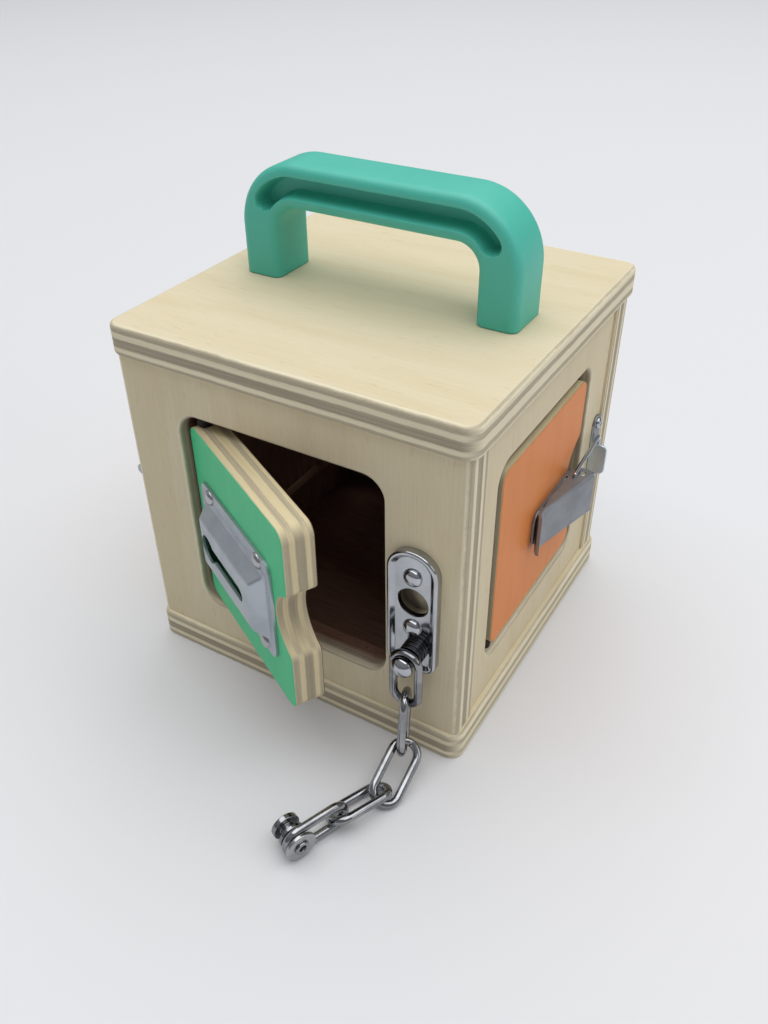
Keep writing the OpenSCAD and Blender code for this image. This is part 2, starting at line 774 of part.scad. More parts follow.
// A ringed collar on the plate, then a neck that droops, with a domed head that keeps the chain on
module chain_stud() {
    pitch = stud_collar_h / (2 * stud_rings - 1);
    color("dimgray") wall(front) translate([stud_x, stud_y, anchor_floor]) {
        cylinder(r = stud_collar_r - stud_ring_depth, h = stud_collar_h);
        for (i = [0 : stud_rings - 1]) translate([0, 0, 2 * i * pitch]) cylinder(r = stud_collar_r, h = pitch);
        translate([0, 0, stud_collar_h]) rotate([stud_tilt, 0, 0]) {
            translate([0, 0, -pitch]) cylinder(r = stud_neck_r, h = stud_neck_l + 2 * pitch);
            translate([0, 0, stud_neck_l]) cylinder(r = stud_head_r, h = stud_head_h / 4);
            translate([0, 0, stud_neck_l + stud_head_h / 4]) dome(stud_head_r, stud_head_h * 0.75);
        }
    }
}

// One oblong wire link, drawn along X with its loop in the XY plane
module link_loop() {
    for (turn = [0, 180]) rotate([0, 0, turn]) {
        translate([0, link_bend_r, 0]) level(-link_straight / 2, 0, 0, link_wire / 2, link_straight);
        translate([link_straight / 2, 0, 0]) rotate([0, 0, -90]) rotate_extrude(angle = 180)
            translate([link_bend_r, 0]) circle(d = link_wire);
    }
}

// Puts a piece that is drawn along a link's run into that link's place
module at_link(i, place) {
    run_v = link_run(i);
    wide_v = link_across(i);
    out_v = cross(run_v, wide_v);
    multmatrix([
        [run_v[0], wide_v[0], out_v[0], place[0]],
        [run_v[1], wide_v[1], out_v[1], place[1]],
        [run_v[2], wide_v[2], out_v[2], place[2]]
    ]) children();
}

module chain_link(i) {
    color("slategray") at_link(i, (near_bend(i) + far_bend(i)) / 2) link_loop();
}

module chain_link_1() {
    chain_link(0);
}

module chain_link_2() {
    chain_link(1);
}

module chain_link_3() {
    chain_link(2);
}

module chain_link_4() {
    chain_link(3);
}

module chain_link_5() {
    chain_link(4);
}

// The end button's pin lies in the last link's far bend, clear of its wire
module at_button() {
    at_link(4, far_bend(4) + (link_bend_r - link_wire / 2 - gap - button_pin_r) * link_run(4)) children();
}

// A turned spool: the pin through the link, a flange, the groove for the keyhole's slot, and the head
module chain_button() {
    flange_z = button_span / 2;
    groove_z = flange_z + button_disc_t;
    head_z = groove_z + button_groove_w;
    rivet_z = -flange_z - button_disc_t - rivet_h;
    color("slategray") at_button() {
        difference() {
            union() {
                translate([0, 0, rivet_z]) cylinder(r = rivet_r, h = rivet_h);
                translate([0, 0, rivet_z]) cylinder(r = button_pin_r, h = flange_z - rivet_z);
            }
            translate([0, 0, rivet_z - over]) cylinder(r = rivet_hole_r, h = rivet_h + button_disc_t + over);
        }
        translate([0, 0, flange_z]) cylinder(r = button_head_r, h = button_disc_t);
        translate([0, 0, groove_z]) cylinder(r = button_groove_r, h = button_groove_w);
        translate([0, 0, head_z]) cylinder(r = button_head_r, h = button_head_t);
    }
}

module chain_button_washer() {
    color("silver") at_button() translate([0, 0, -button_span / 2 - button_disc_t]) difference() {
        cylinder(r = washer_r, h = button_disc_t);
        translate([0, 0, -over]) cylinder(r = button_pin_r + fit, h = button_disc_t + 2 * over);
    }
}

// Draw latch

module latch_base() {
    color("lightslategray") wall(right) difference() {
        translate([0, latch_y, 0]) {
            translate([latch_base_x, 0, 0]) linear_extrude(sheet) rounded(latch_base_l, latch_base_w, 5);
            for (s = [-1, 1]) translate([0, s * (ear_out - sheet / 2), 0]) across(sheet) difference() {
                union() {
                    translate([lever_px, lever_pivot_h]) circle(ear_r);
                    translate([lever_px - ear_r, 0]) square([2 * ear_r, lever_pivot_h]);
                }
                translate([lever_px, lever_pivot_h]) circle(lever_pin_d / 2 + fit);
            }
        }
        drilled(latch_screws);
    }
}

module latch_base_screws() {
    color("silver") wall(right) screws(latch_screws, sheet);
}

module lever_pin() {
    color("silver") wall(right)
        upright(lever_px, latch_y - lever_w / 2, lever_pivot_h, lever_pin_d / 2, lever_w);
}

// Outline of the lever's sloping face and its finger tab, seen from the edge
module lever_face() {
    bend_x = lever_x0 - 0.6 * lever_tab;
    end_x = lever_x0 - lever_tab;
    polygon([
        [latch_x, lever_high], [lever_x0, lever_low], [bend_x, lever_low + 0.3], [end_x, lever_low + 1.8],
        [end_x, lever_low + 0.3], [bend_x, lever_low - sheet],
        [lever_x0, lever_low - sheet], [latch_x, lever_high - sheet]
    ]);
}

// Outline of the lever's side wall, with holes for the lever's pin and the bail
module lever_wall() {
    difference() {
        union() {
            translate([lever_px, lever_pivot_h]) circle(lever_boss_r);
            polygon([
                [latch_x, lever_high - sheet / 2], [lever_x0, lever_low - sheet / 2],
                [lever_x0 + lever_heel, sheet + 2 * gap], [lever_px, lever_pivot_h - lever_boss_r],
                [latch_x, lever_pivot_h]
            ]);
        }
        translate([lever_px, lever_pivot_h]) circle(lever_pin_d / 2 + run);
        translate([bail_px, bail_pz]) circle(bail_d / 2 + run);
    }
}

module latch_lever() {
    color("slategray") wall(right) translate([0, latch_y, 0]) {
        across(lever_w) lever_face();
        for (s = [-1, 1]) translate([0, s * (lever_w - sheet) / 2, 0]) across(sheet) lever_wall();
    }
}

// A wire loop: two arms that hook into the lever's walls and a bar that goes behind the keeper's lip
module latch_bail() {
    r = bail_d / 2;
    arm_l = bail_l - bail_r;
    hook_l = bail_half - lever_in - run;
    color("silver") wall(right) translate([bail_px, latch_y, bail_pz]) rotate([0, -bail_slope, 0]) {
        for (m = [0, 1]) mirror([0, m, 0]) {
            level(0, bail_half, 0, r, arm_l);
            translate([0, bail_half, 0]) sphere(r);
            upright(0, bail_half - hook_l, 0, r, hook_l);
            translate([arm_l, bail_half - bail_r, 0]) rotate_extrude(angle = 90)
                translate([bail_r, 0]) circle(r);
        }
        upright(bail_l, bail_r - bail_half, 0, r, 2 * (bail_half - bail_r));
    }
}

module latch_keeper() {
    color("lightslategray") wall(right) difference() {
        union() {
            translate([keeper_x, latch_y, 0]) linear_extrude(sheet) rounded(keeper_w, keeper_h, keeper_w / 2 - 0.2);
            translate([keeper_left, latch_y, 0]) rotate([0, 90, 0]) linear_extrude(sheet) intersection() {
                rounded(2 * lip_out, lip_h, 3);
                translate([-lip_out, -lip_h / 2]) square([lip_out, lip_h]);
            }
        }
        drilled(keeper_screws);
    }
}

module latch_keeper_screws() {
    color("silver") wall(right) screws(keeper_screws, sheet);
}

// Turn latch

module turn_latch_base() {
    color("gainsboro") wall(left) difference() {
        translate([turn_x, turn_y, 0]) {
            linear_extrude(sheet) rounded(turn_w, turn_h, turn_w / 2 - 0.2);
            cylinder(d = turn_w - 2, h = turn_hub_z - gap);
        }
        translate([turn_x, turn_y, -over]) cylinder(d = axle_d + 2 * fit, h = turn_hub_z + 2 * over);
        drilled(turn_screws);
    }
}

module turn_latch_screws() {
    color("silver") wall(left) screws(turn_screws, sheet);
}

module turn_latch_axle() {
    color("silver") wall(left) translate([turn_x, turn_y, gap - screw_len])
        cylinder(d = axle_d, h = screw_len - gap + axle_top);
}

// An arm that hangs from its hub, with a tapered grip along it
module turn_latch_arm() {
    hub_r = turn_w / 2;
    end_r = hub_r - 1.5;
    tip = turn_hub_z + grip_tip_r - grip_out;
    color("gainsboro") wall(left) translate([turn_x, turn_y, turn_hub_z]) difference() {
        union() {
            linear_extrude(turn_arm_t) {
                circle(hub_r);
                translate([0, end_r - turn_arm]) circle(end_r);
                translate([-end_r, end_r - turn_arm]) square([2 * end_r, turn_arm - end_r]);
            }
            rotate([0, 90, 0]) translate([0, 0, -grip_t / 2]) linear_extrude(grip_t) {
                translate([tip, 0]) circle(grip_tip_r);
                polygon([[0, -grip_l / 2], [0, grip_l / 2], [tip, grip_tip_r], [tip, -grip_tip_r]]);
            }
        }
        translate([0, 0, -over]) cylinder(d = axle_d + 2 * run, h = axle_top - turn_hub_z + gap + over);
    }
}

// Barrel bolt

// A bridge on a plate that guides the bolt
module guide() {
    translate([-guide_l / 2, 0, 0]) {
        level(0, 0, bolt_out, guide_r, guide_l);
        translate([0, -guide_r, 0]) cube([guide_l, 2 * guide_r, bolt_out]);
    }
}

module bolt_housing() {
    color("gainsboro") wall(back) difference() {
        union() {
            translate([(bolt_x0 + bolt_x1) / 2, open_y, 0]) linear_extrude(sheet)
                rounded(bolt_plate_l, bolt_plate_h, 3);
            for (x = guide_xs) translate([x, open_y, 0]) guide();
        }
        level(bolt_x0 - over, open_y, bolt_out, bolt_r + run, bolt_plate_l + 2 * over);
        drilled(bolt_screws);
    }
}

module bolt_housing_screws() {
    color("silver") wall(back) screws(bolt_screws, sheet);
}

module slide_bolt() {
    color("silver") wall(back) {
        level(bolt_tail, open_y, bolt_out, bolt_r, bolt_tip - bolt_tail);
        translate([bolt_knob_x, open_y, bolt_out]) cylinder(r = knob_r / 2, h = knob_out - knob_h - bolt_out);
    }
}

module bolt_knob() {
    crown = knob_h / 4;
    color("black") wall(back) translate([bolt_knob_x, open_y, knob_out - knob_h]) {
        cylinder(r = knob_r, h = knob_h - crown);
        translate([0, 0, knob_h - crown]) dome(knob_r, crown);
    }
}

// A strap that bridges the bolt, on a plate of its own
module bolt_keeper() {
    half = bolt_r + bolt_keeper_room;
    strap = half + sheet;
    color("gainsboro") wall(back) difference() {
        union() {
            translate([bolt_keeper_x, open_y, 0]) linear_extrude(sheet) rounded(guide_l + 2, bolt_plate_h, 2);
            translate([bolt_keeper_x - guide_l / 2, open_y, 0]) rotate([90, 0, 90]) linear_extrude(guide_l) {
                translate([0, bolt_out]) rounded(2 * strap, 2 * strap, 2);
                translate([-strap, 0]) square([2 * strap, bolt_out]);
            }
        }
        translate([bolt_keeper_x - guide_l, open_y - half, sheet])
            cube([2 * guide_l, 2 * half, bolt_out + half - sheet]);
        drilled(bolt_keeper_screws_at);
    }
}

module bolt_keeper_screws() {
    color("silver") wall(back) screws(bolt_keeper_screws_at, sheet);
}

bottom_plate();
top_plate();
front_panel();
right_panel();
back_panel();
left_panel();
handle();
handle_screws();
door_hinge_pins();
door_stops();
chain_anchor_plate();
chain_anchor_screws();
chain_stud();
chain_link_1();
chain_link_2();
chain_link_3();
chain_link_4();
chain_link_5();
chain_button();
chain_button_washer();
front_door();
chain_track();
chain_track_screws();
right_door();
latch_base();
latch_base_screws();
lever_pin();
latch_lever();
latch_bail();
latch_keeper();
latch_keeper_screws();
left_door();
turn_latch_base();
turn_latch_screws();
turn_latch_axle();
turn_latch_arm();
back_door();
bolt_housing();
bolt_housing_screws();
slide_bolt();
bolt_knob();
bolt_keeper();
bolt_keeper_screws();
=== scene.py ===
# %% [markdown]
# This lesson dresses a toddler's lock box: a small plywood cube with a carry handle, a door on every side
# and a different household lock on every door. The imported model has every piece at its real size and
# place. What is added is what a hand would feel and an eye would see: sanded edges, layered plywood,
# painted doors, moulded plastic and several kinds of plated steel.

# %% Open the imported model
import cmath
import json
import math

import bmesh
import bpy
import numpy as np
from mathutils import Matrix, Vector
from mathutils.geometry import tessellate_polygon


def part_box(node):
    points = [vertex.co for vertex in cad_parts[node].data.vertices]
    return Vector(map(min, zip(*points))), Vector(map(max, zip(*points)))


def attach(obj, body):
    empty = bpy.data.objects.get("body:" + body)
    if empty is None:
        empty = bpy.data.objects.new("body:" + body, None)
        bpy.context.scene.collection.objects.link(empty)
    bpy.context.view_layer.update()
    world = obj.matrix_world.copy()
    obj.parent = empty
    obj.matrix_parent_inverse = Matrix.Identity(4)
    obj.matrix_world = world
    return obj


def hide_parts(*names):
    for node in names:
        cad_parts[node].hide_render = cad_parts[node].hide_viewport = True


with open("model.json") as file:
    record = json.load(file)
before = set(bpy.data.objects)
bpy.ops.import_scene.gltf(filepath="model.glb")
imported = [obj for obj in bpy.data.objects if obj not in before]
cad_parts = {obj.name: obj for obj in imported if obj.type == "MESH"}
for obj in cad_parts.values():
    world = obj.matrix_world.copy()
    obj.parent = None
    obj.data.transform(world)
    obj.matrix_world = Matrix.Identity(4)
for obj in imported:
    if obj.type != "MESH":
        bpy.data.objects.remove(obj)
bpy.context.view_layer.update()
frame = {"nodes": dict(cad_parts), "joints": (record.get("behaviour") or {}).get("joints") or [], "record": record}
nodes = frame["nodes"]
body_of_node = {n: b for b, names in frame["record"]["behaviour"]["bodies"].items() for n in names}
slot_of_node = {s["node"]: s["material_slot"] for s in frame["record"]["subparts"]}
MM = 0.001

# %% [markdown]
# The camera was fitted to the box's straight edges. It stands about 31 degrees to the right of the front,
# half a metre away, and looks down by 37 degrees. A Track To constraint could aim it, but its axes are
# written out here, because a small roll is easy to add to them.

# %% Camera
ACROSS = Vector((0.8578, 0.5140, 0.0))
BACK = Vector((0.4123, -0.6881, 0.5971))
ROLL = -0.4985
EYE = Vector((175.09, -295.84, 303.49)) * MM
LENS = 32.545


def placed(name, data):
    made = bpy.data.objects.new(name, data)
    bpy.context.scene.collection.objects.link(made)
    return made


def turned(degrees, axis):
    return Matrix.Rotation(math.radians(degrees), 4, axis)


axes = Matrix((ACROSS, BACK.cross(ACROSS).normalized(), BACK)).transposed().to_4x4()
camera = placed("camera", bpy.data.cameras.new("camera"))
camera.matrix_world = Matrix.Translation(EYE) @ axes @ turned(ROLL, "Z")
camera.data.lens = LENS
camera.data.clip_start = 0.01
bpy.context.scene.camera = camera
print("camera at", [round(v, 3) for v in EYE])

# %% [markdown]
# Node trees can be wired by hand, but a formula is easier to read. A Value is one output socket, and
# adding, multiplying or comparing Values adds the Math nodes. Its ease method is a smooth Map Range node,
# which turns noise or a distance into a soft mask.

# %% Node arithmetic
class Value:
    """One output socket, with the arithmetic of Math nodes."""

    def __init__(self, graph, socket):
        self.graph, self.socket = graph, socket

    def math(self, operation, *terms):
        return self.graph.node("ShaderNodeMath", {"operation": operation}, dict(enumerate(terms)))

    def __add__(self, other):
        return self.math("ADD", self, other)

    def __sub__(self, other):
        return self.math("SUBTRACT", self, other)

    def __rsub__(self, other):
        return self.math("SUBTRACT", other, self)

    def __mul__(self, other):
        return self.math("MULTIPLY", self, other)

    __radd__, __rmul__ = __add__, __mul__

    def __lt__(self, other):
        return self.math("LESS_THAN", self, other)

    def __gt__(self, other):
        return self.math("GREATER_THAN", self, other)

    def __abs__(self):
        return self.math("ABSOLUTE", self)

    def most(self, other):
        return self.math("MAXIMUM", self, other)

    def ease(self, low, high):
        return self.graph.node("ShaderNodeMapRange", {"interpolation_type": "SMOOTHSTEP"},
                               {"Value": self, "From Min": low, "From Max": high})


print("node arithmetic ready")

# %% [markdown]
# A Graph makes every other node: its type, its settings, then what goes into its sockets. A socket is
# found by number, identifier or name, because some nodes have several sockets of one name. Materials and
# Geometry Nodes both use it.

# %% Node graph
def pick(sockets, key):
    """A socket by its number, its identifier or its name."""
    if isinstance(key, int):
        return sockets[key]
    return next((s for s in sockets if s.identifier == key), None) or sockets[key]


class Graph:
    """A node tree that is written from Python."""

    def __init__(self, tree):
        self.tree = tree

    def node(self, kind, settings=None, sockets=None, out=0):
        made = self.tree.nodes.new(kind)
        for key, setting in (settings or {}).items():
            setattr(made, key, setting)
        for key, value in (sockets or {}).items():
            self.plug(pick(made.inputs, key), value)
        return Value(self, pick(made.outputs, out))

    def plug(self, socket, value):
        if isinstance(value, Value):
            self.tree.links.new(value.socket, socket)
        else:
            socket.default_value = value

    def split(self, vector):
        first = self.node("ShaderNodeSeparateXYZ", None, {0: vector})
        return [Value(self, s) for s in first.socket.node.outputs]

    def join(self, x, y, z):
        return self.node("ShaderNodeCombineXYZ", None, {0: x, 1: y, 2: z})

    def noise(self, vector, scale=1.0, detail=3.0, rough=0.55, warp=0.0):
        return self.node("ShaderNodeTexNoise", None, {
            "Vector": vector, "Scale": scale, "Detail": detail, "Roughness": rough, "Distortion": warp})

    def mix(self, share, a, b):
        return self.node("ShaderNodeMix", {"data_type": "RGBA"},
                         {"Factor_Float": share, "A_Color": a, "B_Color": b}, "Result_Color")

    def bump(self, height, strength, distance):
        return self.node("ShaderNodeBump", None, {
            "Strength": strength, "Distance": distance, "Height": height})


print("node graph ready")

# %% [markdown]
# Every finish here is one Principled shader. What is the same all over is set on its sockets, and what
# varies is fed in. Colours are given as they look on a screen, from 0 to 255, and are turned into the
# linear light that shaders reckon in.

# %% Finish helpers
def tone(r, g, b):
    """A screen colour as the linear colour that shaders use."""
    def linear(c):
        return c / 255 / 12.92 if c <= 10 else ((c / 255 + 0.055) / 1.055) ** 2.4
    return linear(r), linear(g), linear(b), 1.0


def new_finish(name, **constant):
    """A material with one Principled shader, and the graph that feeds it."""
    finish = bpy.data.materials.new(name)
    finish.use_nodes = True
    shader = finish.node_tree.nodes["Principled BSDF"]
    for key, value in constant.items():
        shader.inputs[key.replace("_", " ").title().replace("Ior", "IOR")].default_value = value
    return finish, Graph(finish.node_tree), shader


def feed(graph, shader, **sockets):
    for key, value in sockets.items():
        graph.plug(shader.inputs[key.replace("_", " ").title()], value)


print("mid grey on screen is", round(tone(128, 128, 128)[0], 3), "in linear light")

# %% [markdown]
# Plywood is a stack of thin sheets whose grain turns by a quarter at every sheet. A sheet cut along its
# grain looks pale and one cut across it shows grey-brown end grain, so the stripes on one edge of a board
# are the reverse of those on the next. A painted texture for each board could show that, but here each
# board carries two attributes and one formula serves all: "board" is the place along the grain, across it
# and below the face, and "cut" says how far an edge crosses the grain. The middle sheet is the thickest.

# %% Plywood layers
SHEET_LINES = (0.5, 2.9, 5.2, 8.9, 10.9, 12.5)
SHEET_BOARD = 13.0
CORE_AT = 0.54
FACE_SKIN = 0.02


class Grain:
    """What lies at one spot of a board: which sheet, how it was cut, and the marks in the wood."""

    def __init__(self, g, thick):
        self.g = g
        place = g.node("ShaderNodeAttribute", {"attribute_name": "board"}, None, "Vector")
        cut = g.node("ShaderNodeAttribute", {"attribute_name": "cut"}, None, "Fac")
        self.along, self.athwart, depth = g.split(place)
        self.depth = depth * (1 / MM)
        flat = (self.depth < FACE_SKIN) + (self.depth > thick - FACE_SKIN)
        self.sawn = 1 - flat
        # The saw and the glue press leave the lines between sheets a little wavy and frayed
        self.sway = self.noise(30, 30, 0, 3, 0.6) - 0.5
        fray = self.noise(260, 260, 1.2, 3, 0.6) - 0.5
        waved = self.depth + self.sway * 0.8 + fray * 0.7
        crossed, glue = 0.0, 0.0
        for i, line in enumerate(SHEET_LINES):
            below = waved - line * thick / SHEET_BOARD
            crossed = crossed + below.ease(-0.4, 0.4) * (1 - 2 * (i % 2))
            glue = glue + (1 - abs(below).ease(0.02, 0.2))
        self.crossed, self.glue = crossed * self.sawn, glue * self.sawn
        self.end = (self.crossed * (1 - cut) + (1 - self.crossed) * cut) * self.sawn
        self.core = 1 - abs(self.depth * (1 / thick) - CORE_AT).ease(0.1, 0.2)
        # Pores are drawn out along the grain of their own sheet
        self.pores = (self.crossed * self.noise(1300, 45, 1.3, 4, 0.6)
                      + (1 - self.crossed) * self.noise(45, 1300, 1.3, 4, 0.6))
        self.dust = self.noise(1700, 1700, 1.7, 3, 0.7)
        self.height = self.pores * 0.7 + self.dust * self.end * 0.9 - self.glue * 0.6

    def noise(self, along, athwart, deep, detail, rough, warp=0.0):
        """Noise with its own fineness along the grain, across it and through the sheets."""
        g = self.g
        return g.noise(g.join(self.along * along, self.athwart * athwart, self.depth * deep),
                       1.0, detail, rough, warp)


print("sheets in a board:", len(SHEET_LINES) + 1)

# %% [markdown]
# The faces are pale birch with fine pores, a broad, faint figure and a few darker flecks. On a sawn edge
# the pale sheets are cleaner and the end grain is grey-brown, darkest in the middle sheet. Each is a mix
# of two near tones, because one flat colour would look like paint.

# %% Wood tones
def tones(*colours):
    return [tone(*colour) for colour in colours]


PALE = tones((222, 210, 181), (212, 196, 160), (209, 192, 154), (176, 152, 114))
EDGE = tones((238, 229, 202), (208, 195, 162))
DOOR_EDGE = tones((222, 208, 168), (192, 174, 134))
GREY = tones((180, 168, 145), (194, 183, 158), (152, 140, 123), (136, 123, 104))
INSIDE_BROWN = tones((132, 100, 84), (110, 80, 66))


def bare_wood(g, grain, edge):
    """The colour of unfinished plywood, with the two tones of its sawn pale sheets."""
    figure = grain.noise(7, 60, 0.05, 3, 0.5, 0.6)
    fleck = grain.noise(120, 700, 0.7, 2, 0.5).ease(0.62, 0.74)
    streak = grain.noise(16, 16, 2.4, 4, 0.65)
    pale = g.mix(grain.pores.ease(0.3, 0.75) * 0.5, PALE[0], PALE[1])
    pale = g.mix(figure.ease(0.42, 0.72) * 0.4, pale, PALE[2])
    pale = g.mix(fleck * 0.22, pale, PALE[3])
    pale = g.mix(grain.sawn * 0.85, pale, g.mix(streak.ease(0.35, 0.7) * 0.5, *edge))
    grey = g.mix(grain.dust.ease(0.3, 0.7), GREY[0], GREY[1])
    grey = g.mix(streak.ease(0.35, 0.65) * 0.55 + grain.core * 0.45, grey, GREY[2])
    return g.mix(grain.glue * 0.12, g.mix(grain.end * 0.9, pale, grey), GREY[3])


def browned(g, grain, wood, share):
    """Dark brown over a share of the wood."""
    return g.mix(share, wood, g.mix(grain.pores.ease(0.3, 0.7), *INSIDE_BROWN))


print("pale tones:", len(PALE), "end grain tones:", len(GREY))

# %% [markdown]
# The box is dark brown inside, and on the edges of its openings a painted shade of that brown fades out
# towards the face. Behind the round hole of the chain's plate the wood is drilled out a little, and painted
# shade darkens it, most on its lower left. Separate pieces would need seams, so these are masks on Object
# coordinates: a box that is just larger than the cavity, the height of the openings, and a circle round the hole.

# %% Bare plywood
INSIDE = Vector((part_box("right_panel")[0].x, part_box("back_panel")[0].y))
INSIDE_FLOOR, INSIDE_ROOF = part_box("bottom_plate")[1].z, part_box("top_plate")[0].z
SLACK = 0.05 * MM
OPEN_LOW, OPEN_HIGH, CORNER = 25 * MM, 130 * MM, 55 * MM
anchor_low, anchor_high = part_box("chain_anchor_plate")
ANCHOR = (anchor_low.x + anchor_high.x) / 2 / MM, (anchor_low.z + anchor_high.z) / 2 / MM
ANCHOR_HOLE_R, ANCHOR_HOLE_UP = 6.2, 4.2
SEAT_SHADE_TONE = (62, 52, 40)
WOOD_SHEEN = 0.12
GRAIN_DEPTH = 0.08 * MM


def inside_brown_and_reveal_shade(grain, x, y, z):
    """1 on the walls of the cavity, and painted shade fading over the edges of an opening."""
    cavity = (abs(x) < INSIDE.x + SLACK) * (abs(y) < INSIDE.y + SLACK)
    cavity = cavity * (z > INSIDE_FLOOR - SLACK) * (z < INSIDE_ROOF + SLACK)
    clear_of_corners = 1 - (abs(x) > CORNER) * (abs(y) > CORNER)
    opening = grain.sawn * (z > OPEN_LOW) * (z < OPEN_HIGH) * clear_of_corners
    # Painted shade: the brown reaches into each opening's edge, darker further from the face
    return cavity.most(opening * (grain.depth + grain.sway * 3.0).ease(1.0, 8.0))


def seat_shade(grain, x, y, z):
    """How much painted shade darkens the drilled seat behind the anchor plate, most on its lower left."""
    aside, above = x - ANCHOR[0] * MM, z - (ANCHOR[1] + ANCHOR_HOLE_UP) * MM
    near = aside * aside + above * above < (1.07 * ANCHOR_HOLE_R * MM) ** 2
    lit = (aside + above * 0.6).ease(-4 * MM, 2 * MM)
    return near * (y < 0.0) * grain.sawn * (0.85 - lit * 0.85)


ply_finish, g, shader = new_finish("bare plywood", specular_ior_level=WOOD_SHEEN)
grain = Grain(g, SHEET_BOARD)
spot = g.split(g.node("ShaderNodeTexCoord", None, None, "Object"))
# Dark brown inside the box, with painted shade fading into the edges of the openings
wood = browned(g, grain, bare_wood(g, grain, EDGE), inside_brown_and_reveal_shade(grain, *spot))
# Painted shade in the drilled seat behind the anchor plate's hole
wood = g.mix(seat_shade(grain, *spot), wood, tone(*SEAT_SHADE_TONE))
feed(g, shader, base_color=wood, roughness=0.5 + grain.pores * 0.18 + grain.end * 0.12,
     normal=g.bump(grain.height, 0.35, GRAIN_DEPTH))
print("nodes in the bare plywood:", len(ply_finish.node_tree.nodes))

# %% [markdown]
# The doors are the same plywood with one thin coat of paint on the face and dark brown on the rear. The paint
# stops within the small rounding of the edge, so it is a mask on the depth below the face. Its colour and
# gloss are slightly uneven, and a trace of the wood's pores shows through.

# %% Painted doors
DOOR_THICK = 12.6
PAINT_END, REAR_BROWN = (0.2, 0.34), (DOOR_THICK - 0.6, DOOR_THICK - 0.4)
DOOR_PAINT = {
    "front": (78, 202, 142), "right": (224, 138, 75), "back": (50, 122, 190), "left": (236, 182, 46),
}


def painted_plywood(name, paint):
    finish, g, shader = new_finish(name, specular_ior_level=WOOD_SHEEN)
    grain = Grain(g, DOOR_THICK)
    wood = browned(g, grain, bare_wood(g, grain, DOOR_EDGE), grain.depth.ease(*REAR_BROWN))
    covered = 1 - grain.depth.ease(*PAINT_END)
    thin = grain.noise(26, 90, 0.01, 3, 0.6)
    peel = grain.noise(900, 1100, 0.01, 2, 0.5)
    shade = tuple(c * 0.84 for c in paint[:3]) + (1.0,)
    coat = g.mix(thin.ease(0.35, 0.7) * 0.22, paint, shade)
    height = grain.height * (1 - covered) + (peel * 0.5 + grain.pores * 0.25) * covered
    rough = (0.5 + grain.pores * 0.18) * (1 - covered) + (0.34 + thin * 0.1) * covered
    feed(g, shader, base_color=g.mix(covered, wood, coat), roughness=rough,
         normal=g.bump(height, 0.3, GRAIN_DEPTH))
    return finish


door_finish = {side: painted_plywood(side + " door", tone(*paint)) for side, paint in DOOR_PAINT.items()}
print("door finishes:", sorted(door_finish))

# %% [markdown]
# A board starts as an outline. Only three are needed: an arc, a rounded rectangle and a square one. Points
# run anticlockwise round a board and clockwise round a hole, which later tells the edges which way is out.

# %% Outlines
def arc(cx, cy, r, start, stop, steps=14):
    angles = np.radians(np.linspace(start, stop, steps + 1))
    return [(cx + r * math.cos(a), cy + r * math.sin(a)) for a in angles]


def rounded_outline(w, h, r, cx=0.0, cy=0.0, top_r=None):
    outline = []
    for sx, sy, a in ((-1, -1, 180), (1, -1, 270), (1, 1, 0), (-1, 1, 90)):
        bend = top_r if top_r and sy > 0 else r
        outline += arc(cx + sx * (w / 2 - bend), cy + sy * (h / 2 - bend), bend, a, a + 90)
    return outline


def rectangle(w, h, cx, cy):
    return [(cx + sx * w / 2, cy + sy * h / 2) for sx, sy in ((-1, -1), (1, -1), (1, 1), (-1, 1))]


print("points on a rounded rectangle:", len(rounded_outline(10, 10, 2)))

# %% [markdown]
# The real edges are softly sanded. A bevel modifier would stumble over the long triangles of a face with a
# hole in it, so the rounding is made of rows: the same outline several times, each a little further in,
# from the face to the rear. Their normals are known exactly, so a few rows look smooth, and at a square
# corner of the outline each side keeps its own.

# %% Sanded edges
CORNER_COS = 0.9


def sides_of(outline):
    """An outline's points, the outward normals before and after each, and the mitre that insets it."""
    points = np.array(outline, float)
    run = np.roll(points, -1, 0) - points
    length = np.linalg.norm(run, axis=1, keepdims=True)
    side = np.column_stack([run[:, 1], -run[:, 0]]) / length
    before = np.roll(side, 1, 0)
    straight = (before * side).sum(1, keepdims=True)
    even = before * np.roll(length, 1, 0) + side * length
    even /= np.linalg.norm(even, axis=1, keepdims=True)
    mitre = (before + side) / (1 + straight)
    corner = straight < CORNER_COS
    return points, np.where(corner, before, even), np.where(corner, side, even), mitre


def one_row(points, z, before, after, level, lift):
    """Points at one height, with the two normals of each turned up by a given amount."""
    def raised(side):
        return np.column_stack([side * level, np.full(len(side), lift)])
    return np.column_stack([points, np.full(len(points), z)]), raised(before), raised(after)


def edge_rows(outline, front, rear, thick, steps=4):
    """The rows of a board with sanded edges, from its face to its rear."""
    points, before, after, mitre = sides_of(outline)
    rows = []
    for facing, soft in ((1, front), (-1, rear)):
        for a in np.linspace(0, math.pi / 2, steps + 1)[::facing]:
            z = max(soft) * (1 - math.cos(a))
            inset = (1 - math.sin(a)) * mitre * np.array(soft)
            rows.append(one_row(points - inset, -z if facing > 0 else z - thick, before, after,
                                math.sin(a), facing * math.cos(a)))
    return rows


def cup_rows(outline, soft, depth, steps=4):
    """The rows of a blind hole, from its rim down to its floor."""
    points, before, after, _ = sides_of(outline)
    rim = edge_rows(outline, soft, soft, depth, steps)[:steps + 1]
    return rim + [one_row(points, -depth, before, after, 1, 0)]


print("rows in a sanded board:", len(edge_rows(rectangle(10, 10, 0, 0), (1, 1), (1, 1), 5)))

# %% [markdown]
# Neighbouring rows are joined by faces, which is a loft. The flat caps are cut into triangles that leave
# the holes open. The finished normals are stored in the mesh, so that Blender doesn't average them.

